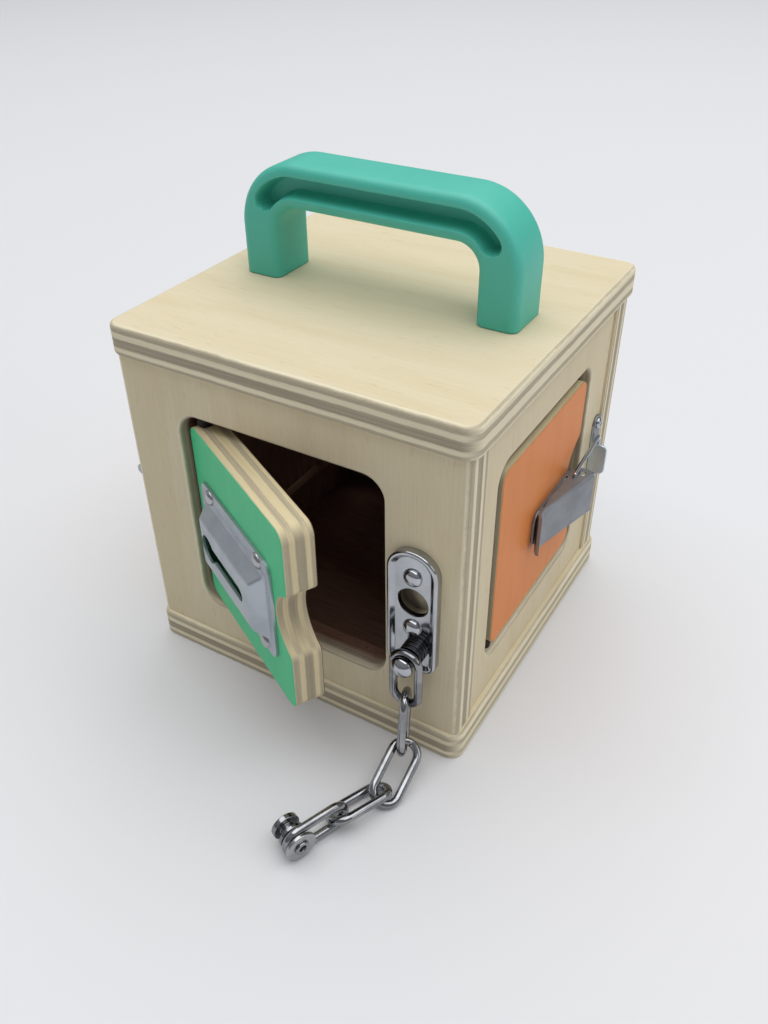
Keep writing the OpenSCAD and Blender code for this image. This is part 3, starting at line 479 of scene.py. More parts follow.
# %% Loft
def lofted(loops, cups=()):
    """Joins the rows of each loop. Caps close all first and all last rows, and each cup has a floor."""
    points, faces, normals, rims, floors = [], [], [], ([], []), []
    for number, rows in enumerate([*loops, *cups]):
        n, first = len(rows[0][0]), len(points)
        for k, (row, before, after) in enumerate(rows):
            points.extend(row)
            if k == 0:
                continue
            a, b = first + (k - 1) * n, first + k * n
            for i in range(n):
                j = (i + 1) % n
                faces.append((a + i, b + i, b + j, a + j))
                normals += [rows[k - 1][2][i], after[i], before[j], rows[k - 1][1][j]]
        rims[0].append(range(first, first + n))
        (rims[1] if number < len(loops) else floors).append(range(len(points) - n, len(points)))
    for rim, facing in [(rims[0], 1), (rims[1], -1)] + [([floor], 1) for floor in floors]:
        order = [v for ring in rim for v in ring]
        for corner in tessellate_polygon([[Vector(points[v]) for v in ring] for ring in rim]):
            a, b, c = (order[t] for t in corner)
            turn = np.cross(points[b] - points[a], points[c] - points[a])[2] * facing
            faces.append((a, b, c) if turn > 0 else (a, c, b))
            normals += [np.array((0.0, 0.0, facing))] * 3
    return np.array(points), faces, np.array(normals)


def mesh_of(name, shape, places):
    """A smooth mesh that holds one copy of a shape at each place."""
    points, faces, normals = shape
    turns = [np.array(place.to_3x3()) for place in places]
    spots = [points @ turn.T * MM + np.array(place.translation) for turn, place in zip(turns, places)]
    copies = [[v + k * len(points) for v in face] for k in range(len(places)) for face in faces]
    mesh = bpy.data.meshes.new(name)
    mesh.from_pydata(np.vstack(spots), [], copies)
    mesh.shade_smooth()
    mesh.normals_split_custom_set(np.vstack([normals @ turn.T for turn in turns]))
    return mesh


print("loft ready")

# %% [markdown]
# A board is a loft that also carries the plywood's two attributes. The seed shifts the noise, so that no
# two boards show the same figure. Every finished piece goes through one last step: it gets its finish,
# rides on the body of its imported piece, and stands in for that piece.

# %% Boards
SEED_SHIFT = 310, 170


def dress(name, mesh, finish, node):
    """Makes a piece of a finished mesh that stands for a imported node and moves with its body."""
    mesh.materials.clear()
    mesh.materials.append(finish)
    piece = placed(name.replace(" ", "_"), mesh)
    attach(piece, body_of_node[node])
    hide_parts(node)
    print(f"{name}: {len(mesh.polygons)} faces")
    return piece


def board(name, node, loops, thick, places, finish, grain="x", seed=0.0, cups=()):
    """loops: (outline, softness of the face edge, softness of the rear edge), holes running clockwise."""
    shape = lofted([edge_rows(*loop, thick) for loop in loops], cups)
    points, _, normals = shape
    mesh = mesh_of(name, shape, places)
    first, second = (0, 1) if grain == "x" else (1, 0)
    along, athwart = points[:, first] + SEED_SHIFT[0] * seed, points[:, second] + SEED_SHIFT[1] * seed
    where = np.column_stack([along, athwart, -points[:, 2]])
    cut = normals[:, first] ** 2 / np.maximum((normals[:, :2] ** 2).sum(1), 1e-9)
    spots = mesh.attributes.new("board", "FLOAT_VECTOR", "POINT")
    spots.data.foreach_set("vector", np.tile(where * MM, (len(places), 1)).ravel())
    cuts = mesh.attributes.new("cut", "FLOAT", "CORNER")
    cuts.data.foreach_set("value", np.tile(cut, len(places)))
    return dress(name, mesh, finish, node)


print("boards ready")

# %% [markdown]
# The top and bottom plates are rounded squares. A bevelled cube would do for their shape, but the board
# maker also gives them sheets and grain, which runs from left to right. The lower plate is sanded less on
# the side that rests on the table.

# %% Top and bottom plates
box_low, box_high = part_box("bottom_plate")
BOX_W, BOX_D, PLY = (box_high - box_low) / MM
BOX_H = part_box("top_plate")[1].z / MM
PLATE_R, PLATE_SOFT, BASE_SOFT = 6.0, 1.8, 0.6

plate = rounded_outline(BOX_W, BOX_D, PLATE_R)
for name, node, top, rear, seed in (("bottom board", "bottom_plate", PLY, BASE_SOFT, 1),
                                    ("top board", "top_plate", BOX_H, PLATE_SOFT, 2)):
    board(name, node, [(plate, (PLATE_SOFT, PLATE_SOFT), (rear, rear))], PLY,
          [Matrix.Translation((0, 0, top * MM))], ply_finish, "x", seed)

# %% [markdown]
# The four walls have one frame each: X to the right as seen from outside, Y up and Z out of the face. The
# front and back walls run past the side walls and have rounded upright edges, and the openings are sanded
# more than the edges that meet the plates. The front wall has the drilled seat behind the chain's plate.

# %% Walls
SIDES = {"front": 0, "right": 1, "back": 2, "left": 3}
face_out = {
    "front": -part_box("front_panel")[0].y, "right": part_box("right_panel")[1].x,
    "back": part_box("back_panel")[1].y, "left": -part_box("left_panel")[0].x,
}
BODY_H = BOX_H - 2 * PLY
OPEN_W, OPEN_H, OPEN_R, OPEN_X, SILL = 91.0, 94.0, 9.0, -3.0, 17.5
OPEN_Y = PLY + SILL + OPEN_H / 2
LONG_EDGE, SHORT_EDGE, WALL_REAR = (2.0, 0.0), (0.25, 0.25), (0.2, 0.2)
OPEN_EDGE, OPEN_REAR = (1.3, 1.3), (1.0, 1.0)
SEAT_DEPTH, SEAT_EDGE = 2.6, (0.2, 0.2)


def wall(side):
    stand = Matrix(((1, 0, 0, 0), (0, 0, -1, -face_out[side]), (0, 1, 0, 0), (0, 0, 0, 1)))
    return turned(90 * SIDES[side], "Z") @ stand


opening = rounded_outline(OPEN_W, OPEN_H, OPEN_R, OPEN_X, OPEN_Y)[::-1]
anchor_hole = arc(ANCHOR[0], ANCHOR[1] + ANCHOR_HOLE_UP, ANCHOR_HOLE_R, 360, 0, 48)[:-1]
button_seat = cup_rows(anchor_hole, SEAT_EDGE, SEAT_DEPTH)
for side in SIDES:
    low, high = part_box(side + "_panel")
    long_wall = side in ("front", "back")
    width = (high.x - low.x if long_wall else high.y - low.y) / MM
    blank = rectangle(width, BODY_H, 0, PLY + BODY_H / 2)
    board(side + " wall", side + "_panel",
          [(blank, LONG_EDGE if long_wall else SHORT_EDGE, WALL_REAR), (opening, OPEN_EDGE, OPEN_REAR)],
          PLY, [wall(side)], ply_finish, "y", 3 + SIDES[side], [button_seat] if side == "front" else ())

# %% [markdown]
# A small block behind each opening keeps its door from swinging inwards. The four are alike, so one mesh
# holds a copy on each wall.

# %% Door stops
STOP_W, STOP_H, STOP_T, STOP_X, STOP_Y = 13.5, 22.0, 7.0, 42.25, 105.5
STOP_SOFT = (0.4, 0.4)
stops = [wall(side) @ Matrix.Translation((0, 0, -PLY * MM)) for side in SIDES]
board("door stops", "door_stops", [(rectangle(STOP_W, STOP_H, STOP_X, STOP_Y), STOP_SOFT, STOP_SOFT)],
      STOP_T, stops, ply_finish, "y", 12)

# %% [markdown]
# The doors are cut from the same plywood, and only their faces are painted. The free edge has a finger
# notch with eased ends, which are three arcs that touch. The front door stands ajar, so its frame is the
# wall's frame turned about the hinge pins.

# %% Doors
low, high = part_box("right_door")
DOOR_T, DOOR_W, DOOR_H = (high - low) / MM
DOOR_R, DOOR_SOFT, DOOR_REAR = 5.0, (0.6, 0.6), (1.0, 1.0)
NOTCH_R, NOTCH_DEPTH, NOTCH_EASE = 15.0, 11.0, 3.0
DOOR_SEED = 7.3


def door_outline():
    a, b, r = DOOR_W / 2, DOOR_H / 2, DOOR_R
    out = NOTCH_R - NOTCH_DEPTH
    ease_y = math.sqrt((NOTCH_R + NOTCH_EASE) ** 2 - (out + NOTCH_EASE) ** 2)
    tilt = math.degrees(math.atan2(ease_y, out + NOTCH_EASE))
    points = arc(-a + r, -b + r, r, 180, 270) + arc(a - r, -b + r, r, 270, 360)
    points += arc(a - NOTCH_EASE, -ease_y, NOTCH_EASE, 0, tilt, 8)
    points += arc(a + out, 0, NOTCH_R, 180 + tilt, 180 - tilt, 24)[1:-1]
    points += arc(a - NOTCH_EASE, ease_y, NOTCH_EASE, -tilt, 0, 8)
    points += arc(a - r, b - r, r, 0, 90) + arc(-a + r, b - r, r, 90, 180)
    return [(OPEN_X + x, OPEN_Y + y) for x, y in points]


hinge = {j["child"]: j for j in frame["joints"]}["front_door"]
to_pivot = Matrix.Translation(hinge["pos_m"])
door_frame = {side: wall(side) for side in SIDES}
door_frame["front"] = to_pivot @ turned(hinge["range_deg"][0], "Z") @ to_pivot.inverted() @ wall("front")
for side in SIDES:
    board(side + " door", side + "_door", [(door_outline(), DOOR_SOFT, DOOR_REAR)], DOOR_T,
          [door_frame[side]], door_finish[side], "y", DOOR_SEED + SIDES[side])

# %% [markdown]
# The carry handle is one moulded piece of plastic: a rounded section that follows two legs, two bends and
# a bar. A curve with a bevel could make it, but not its groove. So the middle line is a function of the
# distance from the left foot, and the section is set along it as a grid of points.

# %% Handle line
low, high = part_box("handle")
HANDLE_W, HANDLE_D, HANDLE_H = (high - low) / MM
HANDLE_T, BEND_R, EDGE_R = 16.8, 26.0, 3.5
MID_R, LEG, HALF_BAR = BEND_R - HANDLE_T / 2, HANDLE_H - BEND_R, HANDLE_W / 2 - BEND_R
HALF_LENGTH = LEG + MID_R * math.pi / 2 + HALF_BAR


def handle_spine(t):
    """A point of the middle line and the outward direction there, at distance t from the left foot."""
    side = -1 if t < HALF_LENGTH else 1
    up_leg = min(t, 2 * HALF_LENGTH - t)
    turn = min(max((up_leg - LEG) / MID_R, 0.0), math.pi / 2)
    out = Vector((side * math.cos(turn), 0, math.sin(turn)))
    return Vector((side * min(HALF_BAR, HALF_LENGTH - up_leg), 0, min(up_leg, LEG))) + MID_R * out, out


print("handle's middle line:", round(2 * HALF_LENGTH, 1), "mm")

# %% [markdown]
# A soft groove is sunk into both faces of the handle. On the grid it is a depth at each point, taken from
# its distance to the groove's middle line, which gives the round lips and ends of a moulded part without
# any cutting.

# %% Handle
GROOVE_W, GROOVE_DEPTH, GROOVE_SWEEP, GROOVE_LIP = 7.4, 8.5, 52.0, 1.5
FOOT_SOFT, STATIONS, ACROSS_FACE = 0.4, 390, 35
GROOVE_START = LEG + MID_R * math.radians(90 - GROOVE_SWEEP)


def handle_section():
    """The rounded section: distance outwards, distance to the rear, and which face, if any, it is on."""
    q, y = HANDLE_T / 2 - EDGE_R, HANDLE_D / 2 - EDGE_R
    half = [(s, -HANDLE_D / 2, -1) for s in np.linspace(-q, q, ACROSS_FACE)]
    half += [(*p, 0) for p in arc(q, -y, EDGE_R, 270, 360, 7)[1:] + arc(q, y, EDGE_R, 0, 90, 7)[:-1]]
    return half + [(-a, -b, -facing) for a, b, facing in half]


def groove_depth(t, across):
    """How deep the groove is at a distance along the handle and across its face."""
    past_end = max(GROOVE_START - t, t - (2 * HALF_LENGTH - GROOVE_START), 0.0)
    inside = GROOVE_W / 2 - math.hypot(past_end, across)
    s = min(max((inside + GROOVE_LIP / 3) / GROOVE_LIP, 0.0), 1.0)
    return GROOVE_DEPTH * s * s * (3 - 2 * s)


def handle_ring(bm, t):
    """One section of the handle. The end ones are drawn in."""
    middle, out = handle_spine(t)
    tuck = 2 * FOOT_SOFT if t in (0.0, 2 * HALF_LENGTH) else 0.0
    ring = []
    for a, b, facing in handle_section():
        b -= facing * groove_depth(t, a)
        p = middle + out * (a * (1 - tuck / HANDLE_T)) + Vector((0, b * (1 - tuck / HANDLE_D), BOX_H))
        ring.append(bm.verts.new(p * MM))
    return ring


def handle_mesh():
    bm = bmesh.new()
    stations = [0.0, *np.linspace(FOOT_SOFT, 2 * HALF_LENGTH - FOOT_SOFT, STATIONS), 2 * HALF_LENGTH]
    rings = [handle_ring(bm, t) for t in stations]
    for one, two in zip(rings, rings[1:]):
        for i in range(len(one)):
            j = (i + 1) % len(one)
            bm.faces.new((one[i], one[j], two[j], two[i]))
    bm.faces.new(rings[0])
    bm.faces.new(rings[-1][::-1])
    bmesh.ops.recalc_face_normals(bm, faces=bm.faces[:])
    mesh = bpy.data.meshes.new("handle")
    bm.to_mesh(mesh)
    bm.free()
    mesh.shade_smooth()
    mesh.set_sharp_from_angle(angle=math.radians(50))
    return mesh


handle = handle_mesh()
print("points on the handle:", len(handle.vertices))

# %% [markdown]
# The plastic is satin. An etched mould leaves a fine bite on it, hands rub it shinier in places, and its
# colour is faintly cloudy. Three noises of different fineness give those, on Object coordinates.

# %% Moulded plastic
BITE_DEPTH = 0.06 * MM


def moulded(name, colour, shade):
    finish, g, shader = new_finish(name, specular_ior_level=0.5)
    at = g.node("ShaderNodeTexCoord", None, None, "Object")
    cloud = g.noise(at, 45.0, 3.0, 0.6)
    bite = g.noise(at, 2600.0, 2.0, 0.6)
    rub = g.noise(at, 130.0, 4.0, 0.65).ease(0.55, 0.75)
    feed(g, shader, base_color=g.mix(cloud.ease(0.35, 0.7) * 0.35, colour, shade),
         roughness=0.4 + bite * 0.08 - rub * 0.08, normal=g.bump(bite, 0.22, BITE_DEPTH))
    return finish


teal = moulded("teal plastic", tone(80, 190, 171), tone(68, 182, 161))
black = moulded("black plastic", tone(26, 26, 28), tone(18, 18, 19))
dress("carry handle", handle, teal, "handle")

# %% [markdown]
# The metals differ in how bright and how even they are: mirror chrome on the anchor plate and most screws,
# darker chrome on the chain, satin nickel on the pressed track, dull zinc on the draw latch, drawn steel
# inside, and nearly black steel on the hinge pins, which is painted shade in the door gaps. All share one
# recipe: fine scratches, which are noise stretched along one direction, and smudges that vary the gloss.

# %% Metal finishes
SCRATCH_DEPTH = 0.03 * MM
SCRATCH_STRETCH = 900.0, 900.0, 60.0


def plated(name, light, dark, gloss, uneven, scratch):
    finish, g, shader = new_finish(name, metallic=1.0)
    at = g.node("ShaderNodeTexCoord", None, None, "Object")
    smudge = g.noise(at, 90.0, 4.0, 0.6)
    line = g.noise(g.join(*(v * s for v, s in zip(g.split(at), SCRATCH_STRETCH))), 2.0, 3.0, 0.6)
    grit = g.noise(at, 1900.0, 2.0, 0.6)
    feed(g, shader, base_color=g.mix(smudge.ease(0.3, 0.7), tone(*light), tone(*dark)),
         roughness=gloss + smudge.ease(0.35, 0.75) * uneven + line * uneven * 0.5,
         normal=g.bump(line * 0.6 + grit * 0.4, scratch, SCRATCH_DEPTH))
    return finish


LOOKS = {
    "bright_chrome": ((190, 193, 198), (174, 177, 182), 0.09, 0.06, 0.05),
    "dark_chrome": ((166, 167, 170), (132, 133, 136), 0.09, 0.10, 0.08),
    "satin_nickel": ((184, 190, 196), (174, 180, 187), 0.42, 0.08, 0.05),
    "zinc": ((152, 156, 161), (138, 142, 147), 0.44, 0.06, 0.1),
    "bright_steel": ((196, 197, 200), (174, 176, 180), 0.16, 0.10, 0.2),
    # Nearly black steel for the hinge pins, which is painted shade in the door gaps
    "gap_shade_steel": ((56, 52, 48), (44, 41, 38), 0.5, 0.1, 0.1),
    # A brighter, bluer nickel for the keeper's lip, which is a painted highlight
    "lip_highlight_nickel": ((212, 228, 240), (200, 216, 228), 0.36, 0.08, 0.05),
    "worn_chrome": ((184, 184, 186), (160, 160, 162), 0.22, 0.1, 0.08),
    # Dark chrome for the stud's shank, and painted shade on the anchor plate's bore
    "shank_and_bore_shade_chrome": ((96, 96, 99), (70, 70, 73), 0.12, 0.1, 0.1),
}
metal = {name: plated(name.replace("_", " "), *look) for name, look in LOOKS.items()}
print("metal finishes:", sorted(metal))

# %% [markdown]
# Pressed and folded sheet metal never has knife edges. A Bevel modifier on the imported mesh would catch
# every triangle, so a copy is welded first and its flat faces are joined. Then its edges are bevelled: a
# wide, round fold where sheet was bent, and a small break where it was cut. Weighted normals keep the
# flats flat.

# %% Softening
FLAT_ANGLE, SHARP_ANGLE = math.radians(0.6), math.radians(40)
WELD = 0.003 * MM


def welded(node):
    """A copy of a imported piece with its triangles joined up."""
    bm = bmesh.new()
    bm.from_mesh(nodes[node].data)
    bmesh.ops.remove_doubles(bm, verts=bm.verts[:], dist=WELD)
    bmesh.ops.dissolve_limit(bm, angle_limit=FLAT_ANGLE, verts=bm.verts[:], edges=bm.edges[:])
    return bm


def bends(bm, least, most=360.0, longer_than=0.0):
    """The edges of at least a given length whose two faces meet between two angles."""
    return [e for e in bm.edges if len(e.link_faces) == 2 and e.calc_length() >= longer_than * MM
            and math.radians(least) < e.calc_face_angle(0.0) < math.radians(most)]


def bevel(bm, edges, radius, segments):
    if edges and radius:
        bmesh.ops.bevel(bm, geom=edges, offset=radius * MM, segments=segments, profile=0.5,
                        affect="EDGES", clamp_overlap=True)


def evaluated(holder):
    """The mesh of an object after its modifiers; the object itself goes."""
    mesh = bpy.data.meshes.new_from_object(holder.evaluated_get(bpy.context.evaluated_depsgraph_get()))
    bpy.data.objects.remove(holder)
    return mesh


def settled(name, bm):
    """A smooth-shaded mesh whose flats stay flat."""
    mesh = bpy.data.meshes.new(name)
    bm.to_mesh(mesh)
    bm.free()
    mesh.shade_smooth()
    mesh.set_sharp_from_angle(angle=SHARP_ANGLE)
    holder = placed(name, mesh)
    holder.modifiers.new("even", "WEIGHTED_NORMAL").keep_sharp = True
    return evaluated(holder)


print("softening ready")

# %% [markdown]
# The locks and pins go through that in one loop. For each piece the list says what differs from the usual:
# the break of its cut edges, the radius of its slanting folds, the radius of a long square fold between
# two broad faces, or a finish other than that of its slot.

# %% Softened pieces
SOFT_PIECES = {
    "chain_track": {"fold": 1.4}, "latch_base": {"cut": 0.2}, "latch_lever": {"roll": 1.5},
    "latch_keeper": {}, "latch_bail": {"cut": 0.0}, "lever_pin": {}, "turn_latch_base": {"cut": 0.25},
    "turn_latch_arm": {"cut": 0.6}, "turn_latch_axle": {"cut": 0.2}, "bolt_housing": {},
    "slide_bolt": {"cut": 0.5}, "bolt_knob": {"cut": 0.4, "finish": black}, "bolt_keeper": {},
    # Painted shade: the hinge pins take a nearly black steel so that they read as the dark door gaps
    "door_hinge_pins": {"finish": metal["gap_shade_steel"]}, "chain_button": {},
    "chain_button_washer": {"finish": metal["worn_chrome"]},
    "chain_stud": {"finish": metal["shank_and_bore_shade_chrome"]},
}
BROAD_FACE, BROAD_EDGE, BROAD_ANGLE = 100 * MM * MM, 18.0, 60
FOLD_EDGE, FOLD_ANGLES, CUT_ANGLE = 4.0, (15, 75), 45


def softened(node, cut=0.3, fold=0.0, roll=0.0, finish=None):
    bm = welded(node)
    broad = [e for e in bends(bm, BROAD_ANGLE, longer_than=BROAD_EDGE)
             if e.is_convex and min(f.calc_area() for f in e.link_faces) > BROAD_FACE]
    bevel(bm, broad, roll, 5)
    bevel(bm, bends(bm, *FOLD_ANGLES, longer_than=FOLD_EDGE), fold, 4)
    bevel(bm, bends(bm, CUT_ANGLE), cut, 2)
    name = node.replace("_", " ")
    return dress(name, settled(name, bm), finish or metal[slot_of_node[node]], node)


soft_piece = {node: softened(node, **how) for node, how in SOFT_PIECES.items()}

# %% [markdown]
# Some pieces have two finishes. The stud's rounded head is bright while its ringed shank is dark, and the
# keeper's outer lip takes a brighter nickel, which is a painted highlight. Rather than cutting a piece in
# two, the chosen faces point at a second material slot.

# %% Second coats
STUD_HEAD, KEEPER_LIP = 2.6 * MM, 2.5 * MM


def second_coat(piece, finish, chosen):
    """Gives the faces whose middle is chosen another finish."""
    faces = piece.data.polygons
    piece.data.materials.append(finish)
    faces.foreach_set("material_index", [int(chosen(face.center)) for face in faces])


head_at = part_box("chain_stud")[0].y + STUD_HEAD
lip_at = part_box("right_panel")[1].x + KEEPER_LIP
second_coat(soft_piece["chain_stud"], metal["bright_chrome"], lambda spot: spot.y < head_at)
# Painted highlight: the keeper's outer lip takes a brighter, bluer nickel
second_coat(soft_piece["latch_keeper"], metal["lip_highlight_nickel"], lambda spot: spot.x > lip_at)
print("two finishes on chain_stud and latch_keeper")

# %% [markdown]
# The chain's anchor is a pressed plate with a rolled rim round a shallow dish. It is lofted like a board,
# but along a folded line with round corners, from the dish up the slope, over the rim and down to the
# wall. With inset and height as one complex number, each corner is a short turn of the heading. The bore
# of its hole is given a dark chrome, which is painted shade.

# %% Anchor plate
def rounded_line(corners, steps=5):
    """Points and headings along a folded line; a corner is its inset, its height and its radius."""
    spots = [complex(inset, height) for inset, height, _ in corners]
    legs = [(b - a) / abs(b - a) for a, b in zip(spots, spots[1:])]
    line = [(spots[0], legs[0])]
    for spot, come, go, (_, _, r) in zip(spots[1:], legs, legs[1:], corners[1:]):
        turn = cmath.phase(go / come)
        start = spot - come * r * math.tan(abs(turn) / 2)
        for f in np.linspace(0, 1, steps + 1):
            swing = cmath.exp(1j * turn * f)
            line.append((start + come * (swing - 1) * r * abs(turn) / (1j * turn), come * swing))
    return line + [(spots[-1], legs[-1])]


def pressed_rows(outline, corners):
    points, before, after, mitre = sides_of(outline)
    return [one_row(points - at.real * mitre, at.imag, before, after, -way.imag, -way.real)
            for at, way in rounded_line(corners)]


ANCHOR_W, ANCHOR_H, ANCHOR_TOP_R, ANCHOR_FOOT_R = 20.8, 56.5, 10.0, 5.0
ANCHOR_T, DISH = 3.6, 1.4
floor_z = ANCHOR_T - DISH
plate = rounded_outline(ANCHOR_W, ANCHOR_H, ANCHOR_FOOT_R, *ANCHOR, top_r=ANCHOR_TOP_R)
rim = pressed_rows(plate, [(3.4, floor_z, 0), (3.1, floor_z, 0.5), (1.4, ANCHOR_T, 0.6),
                           (0, ANCHOR_T, 1.0), (0, 0, 0)])
bore = pressed_rows(anchor_hole, [(0.6, floor_z, 0), (0, floor_z, 0.5), (0, 0, 0)])
mesh = mesh_of("anchor plate", lofted([rim, bore]), [wall("front")])
anchor_plate = dress("chain anchor plate", mesh, metal["bright_chrome"], "chain_anchor_plate")
hole_middle = Vector((ANCHOR[0], ANCHOR[1] + ANCHOR_HOLE_UP)) * MM
bore_reach = 1.01 * ANCHOR_HOLE_R * MM
# Painted shade: the faces of the hole's bore take a dark chrome
second_coat(anchor_plate, metal["shank_and_bore_shade_chrome"],
            lambda spot: (spot.xz - hole_middle).length < bore_reach)

# %% [markdown]
# What repeats is made by Geometry Nodes. A tree takes its sizes and its metal as named inputs, so it can
# make larger or smaller copies, and it ends by turning instances into real geometry. Three helpers open a
# tree, close it, and run it to get a plain mesh.

# %% Trees
def new_tree(name, sizes):
    tree = bpy.data.node_groups.new(name, "GeometryNodeTree")
    tree.interface.new_socket("Geometry", in_out="INPUT", socket_type="NodeSocketGeometry")
    for label, value in sizes.items():
        socket = tree.interface.new_socket(label, in_out="INPUT", socket_type="NodeSocketFloat")
        socket.default_value = value
    tree.interface.new_socket("Metal", in_out="INPUT", socket_type="NodeSocketMaterial")
    tree.interface.new_socket("Geometry", in_out="OUTPUT", socket_type="NodeSocketGeometry")
    graph = Graph(tree)
    entry = tree.nodes.new("NodeGroupInput")
    given = {s.name: Value(graph, s) for s in entry.outputs if s.name}
    return tree, graph, given


def close_tree(graph, given, geometry):
    whole = graph.node("GeometryNodeRealizeInstances", None, {"Geometry": geometry})
    coated = graph.node("GeometryNodeSetMaterial", None, {"Geometry": whole, "Material": given["Metal"]})
    graph.plug(graph.tree.nodes.new("NodeGroupOutput").inputs["Geometry"], coated)


def grown(name, tree, start, values):
    """Runs a tree on a mesh and returns the result as a plain mesh."""
    holder = placed(name, start)
    maker = holder.modifiers.new(tree.name, "NODES")
    maker.node_group = tree
    ids = {s.name: s.identifier for s in tree.interface.items_tree if s.in_out == "INPUT"}
    for label, value in values.items():
        maker[ids[label]] = value
    return evaluated(holder)


print("trees ready")

# %% [markdown]
# A chain link is a loop of round wire with straight sides and half-round ends. The loop is a rectangle
# whose corners are filleted to half circles, and a circle is swept along it. The fillet stays a hair under
# half the width, because a full half would put two points in one place.

# %% Link tree
link_sizes = {"Length": 29.0 * MM, "Width": 14.2 * MM, "Wire": 3.4 * MM}
NEARLY_HALF = 0.4999
link_tree, g, given = new_tree("Oblong link", link_sizes)
wire_length, wire_width = given["Length"] - given["Wire"], given["Width"] - given["Wire"]
loop = g.node("GeometryNodeCurvePrimitiveQuadrilateral", None, {"Width": wire_length, "Height": wire_width})
loop = g.node("GeometryNodeFilletCurve", {"mode": "POLY"},
              {"Curve": loop, "Count": 16, "Radius": wire_width * NEARLY_HALF})
wire = g.node("GeometryNodeCurvePrimitiveCircle", None, {"Resolution": 24, "Radius": given["Wire"] * 0.5})
tube = g.node("GeometryNodeCurveToMesh", None, {"Curve": loop, "Profile Curve": wire})
tube = g.node("GeometryNodeSetShadeSmooth", None, {"Geometry": tube})
close_tree(g, given, tube)
print("link tree nodes:", len(link_tree.nodes))

# %% [markdown]
# Five links hang from the stud, each turned against the one before it. Their turns repeat the chain's
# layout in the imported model: the heading from straight out of the box, the dip below level and the roll.
# The middle of each packed link gives the place.

# %% Chain
LINK_TURNS = [(0, 90, 0), (20, 71, 90), (0, 26, -33), (-22, -4, 27), (-22, 0, 88)]


def link_turn(heading, dip, roll):
    """Lays a link straight out of the box, rolls it about its length, dips it and turns it to its heading."""
    return turned(heading, "Z") @ turned(dip, "X") @ turned(-roll, "Y") @ turned(-90, "Z")


for i, turns in enumerate(LINK_TURNS):
    node = f"chain_link_{i + 1}"
    low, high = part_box(node)
    mesh = grown(node, link_tree, bpy.data.meshes.new(node), {**link_sizes, "Metal": metal["dark_chrome"]})
    mesh.transform(Matrix.Translation((low + high) / 2) @ link_turn(*turns))
    dress(f"chain link {i + 1}", mesh, metal["dark_chrome"], node)

# %% [markdown]
# The small screws have a low dome with a cross recess. A tree sets one on each point of a mesh and turns
# it to that point's "out" direction. The dome is the upper half of a squashed sphere. The lower half is
# pressed flat and the cross is a dip in the height, so nothing has to be cut.

# %% Screw tree
screw_sizes = {"Head width": 5.4 * MM, "Head height": 1.7 * MM, "Cross length": 2.6 * MM,
               "Cross width": 0.62 * MM, "Cross depth": 0.75 * MM}
screw_tree, g, given = new_tree("Cross-head screws", screw_sizes)
ball = g.node("GeometryNodeMeshUVSphere", None, {"Segments": 48, "Rings": 40, "Radius": 1.0})
x, y, z = g.split(g.node("GeometryNodeInputPosition"))
radius = given["Head width"] * 0.5
px, py = x * radius, y * radius
half_l, half_w = given["Cross length"] * 0.5, given["Cross width"] * 0.5


def bar(u, v):
    """1 inside one bar of the cross, falling to 0 at its rim."""
    return (1 - abs(u).ease(half_l * 0.8, half_l * 1.05)) * (1 - abs(v).ease(half_w * 0.6, half_w * 1.4))


dip = bar(px, py).most(bar(py, px)) * given["Cross depth"] * (z > 0.0)
dome = g.join(px, py, (z.most(0.0) * given["Head height"] - dip).most(0.0))
head = g.node("GeometryNodeSetPosition", None, {"Geometry": ball, "Position": dome})
head = g.node("GeometryNodeSetShadeSmooth", None, {"Geometry": head})
facing = g.node("GeometryNodeInputNamedAttribute", {"data_type": "FLOAT_VECTOR"}, {"Name": "out"})
upright = g.node("FunctionNodeAlignRotationToVector", {"axis": "Z"}, {"Vector": facing})
rows = g.node("GeometryNodeInstanceOnPoints", None,
              {"Points": given["Geometry"], "Instance": head, "Rotation": upright})
close_tree(g, given, rows)
print("screw tree nodes:", len(screw_tree.nodes))

# %% [markdown]
# Each lock has its own row of screws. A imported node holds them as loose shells, so a flood fill along the
# edges parts them, and the highest point of each shell tells where its head sits. The heads on the anchor
# plate and on the track are larger and quite plain, so their cross has no depth, and the track's are worn.

# %% Screws
SCREW_SIDES = {
    "chain_track_screws": "front", "chain_anchor_screws": "front", "latch_keeper_screws": "right",
    "latch_base_screws": "right", "turn_latch_screws": "left", "bolt_housing_screws": "back",
    "bolt_keeper_screws": "back",
}
PLAIN_HEADS = {
    "chain_anchor_screws": {"Head width": 7.6 * MM, "Head height": 2.4 * MM, "Cross depth": 0.0},
    "chain_track_screws": {"Head width": 6.6 * MM, "Head height": 1.9 * MM, "Cross depth": 0.0},
}


def shells_of(bm):
    """The sets of points that hang together by edges."""
    todo = set(bm.verts)
    while todo:
        shell, reached = set(), [todo.pop()]
        while reached:
            v = reached.pop()
            shell.add(v)
            near = {o for e in v.link_edges for o in e.verts} & todo
            reached.extend(near)
            todo -= near
        yield shell


def heads_of(node, at, head):
    """The middles of the undersides of a node's screw heads, in the frame of a wall or a door."""
    bm = welded(node)
    bm.transform(at.inverted())
    places = []
    for shell in shells_of(bm):
        local = np.array([v.co for v in shell])
        middle = (local.min(0) + local.max(0)) / 2
        places.append(at @ Vector((middle[0], middle[1], local[:, 2].max() - head)))
    bm.free()
    return places


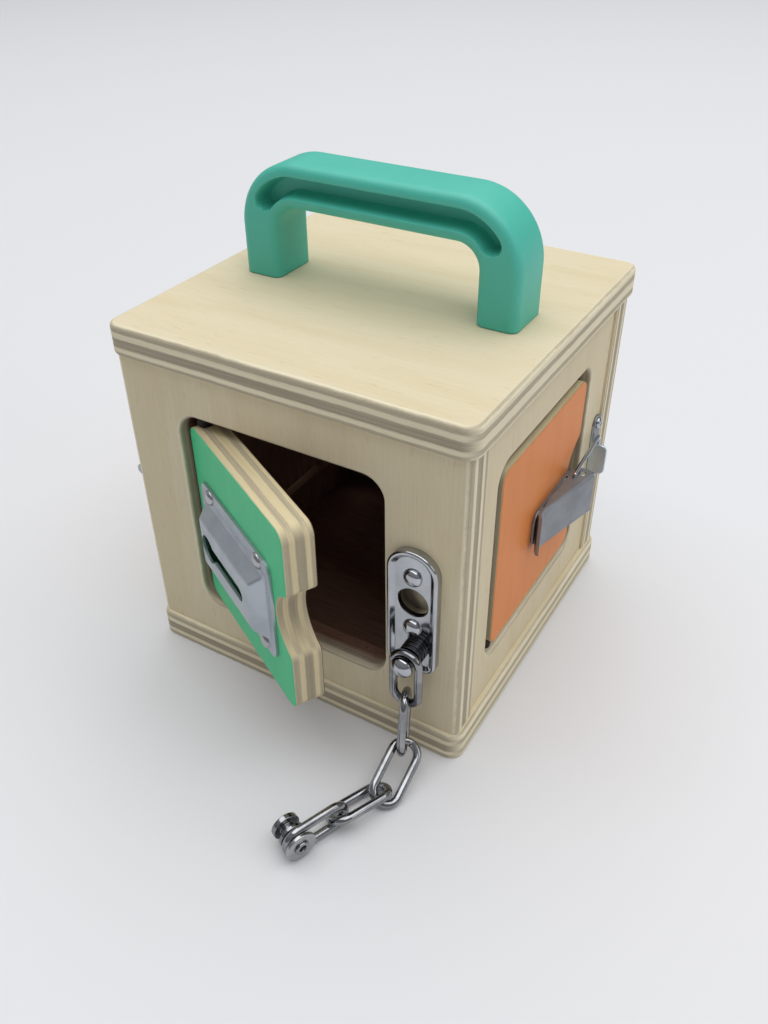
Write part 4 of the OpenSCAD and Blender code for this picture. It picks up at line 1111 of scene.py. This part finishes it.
for node, side in SCREW_SIDES.items():
    at = door_frame[side] if body_of_node[node] == side + "_door" else wall(side)
    sizes = {**screw_sizes, **PLAIN_HEADS.get(node, {})}
    points = heads_of(node, at, sizes["Head height"])
    seat = bpy.data.meshes.new(node)
    seat.from_pydata(points, [], [])
    out = seat.attributes.new("out", "FLOAT_VECTOR", "POINT")
    out.data.foreach_set("vector", list(at.to_3x3() @ Vector((0, 0, 1))) * len(points))
    coat = metal["worn_chrome" if node == "chain_track_screws" else "bright_chrome"]
    dress(node.replace("_", " "), grown(node, screw_tree, seat, {**sizes, "Metal": coat}), coat, node)

# %% [markdown]
# The two large screws under the top board only show from inside the box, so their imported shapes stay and
# take the drawn-steel finish.

# %% Handle screws
screws = nodes["handle_screws"]
screws.data.materials.clear()
screws.data.materials.append(metal["bright_steel"])
print("handle screws keep their packed shape")

# %% [markdown]
# The setting is a plain pale table, which is one large sheet of paper just under the box.

# %% Floor
FLOOR_W, FLOOR_Z = 12.0, -0.1 * MM
corners = [(x, y, FLOOR_Z) for x, y in rectangle(FLOOR_W, FLOOR_W, 0, 0)]
floor_mesh = bpy.data.meshes.new("floor")
floor_mesh.from_pydata(corners, [], [(0, 1, 2, 3)])
paper, g, shader = new_finish("pale paper", roughness=0.75)
at = g.node("ShaderNodeTexCoord", None, None, "Object")
fibre = g.noise(at, 9.0, 3.0, 0.6) * 0.25
feed(g, shader, base_color=g.mix(fibre, tone(222, 222, 224), tone(219, 219, 221)))
floor_mesh.materials.append(paper)
floor = placed("floor", floor_mesh)
print("floor is", FLOOR_W, "m wide")

# %% [markdown]
# The light is soft, as in a room with a white ceiling. One very broad lamp hangs above and behind, a small
# one fills from the right, and a dim card on the left gives the slope of the pressed track something to
# reflect. A grey surround does the same for the chrome. The Standard view is used, because the film-like
# one would wash out the painted doors.

# %% Light
def softbox(name, place, target, size, power, colour=(1.0, 1.0, 1.0)):
    lamp = bpy.data.lights.new(name, "AREA")
    lamp.shape, lamp.size, lamp.size_y = "RECTANGLE", size[0], size[1]
    lamp.energy, lamp.color = power, colour
    holder = placed(name, lamp)
    holder.location = place
    holder.rotation_euler = (Vector(target) - Vector(place)).to_track_quat("-Z", "Y").to_euler()


SURROUND_LOW, SURROUND_HIGH, SURROUND_POWER = (186, 187, 190), (238, 240, 244), 0.34
softbox("overhead", (0.2, 0.5, 3.2), (0.15, 0.3, 0.0), (5.0, 4.6), 146.0, (0.972, 0.98, 0.982))
softbox("right fill", (1.9, 0.3, 0.9), (0.0, 0.0, 0.08), (0.9, 0.8), 3.2, (1.0, 0.99, 0.97))
softbox("left card", (-2.05, -0.36, 0.65), (-0.05, -0.1, 0.08), (1.0, 0.8), 1.0)
world = bpy.data.worlds.new("surround")
bpy.context.scene.world = world
world.use_nodes = True
backdrop = world.node_tree.nodes["Background"]
g = Graph(world.node_tree)
height = g.split(g.node("ShaderNodeTexCoord", None, None, "Generated"))[2]
g.plug(backdrop.inputs["Color"], g.mix(height.ease(-0.2, 0.7), tone(*SURROUND_LOW), tone(*SURROUND_HIGH)))
backdrop.inputs["Strength"].default_value = SURROUND_POWER
bpy.context.scene.view_settings.view_transform = "Standard"
print("lamps:", len(bpy.data.lights))
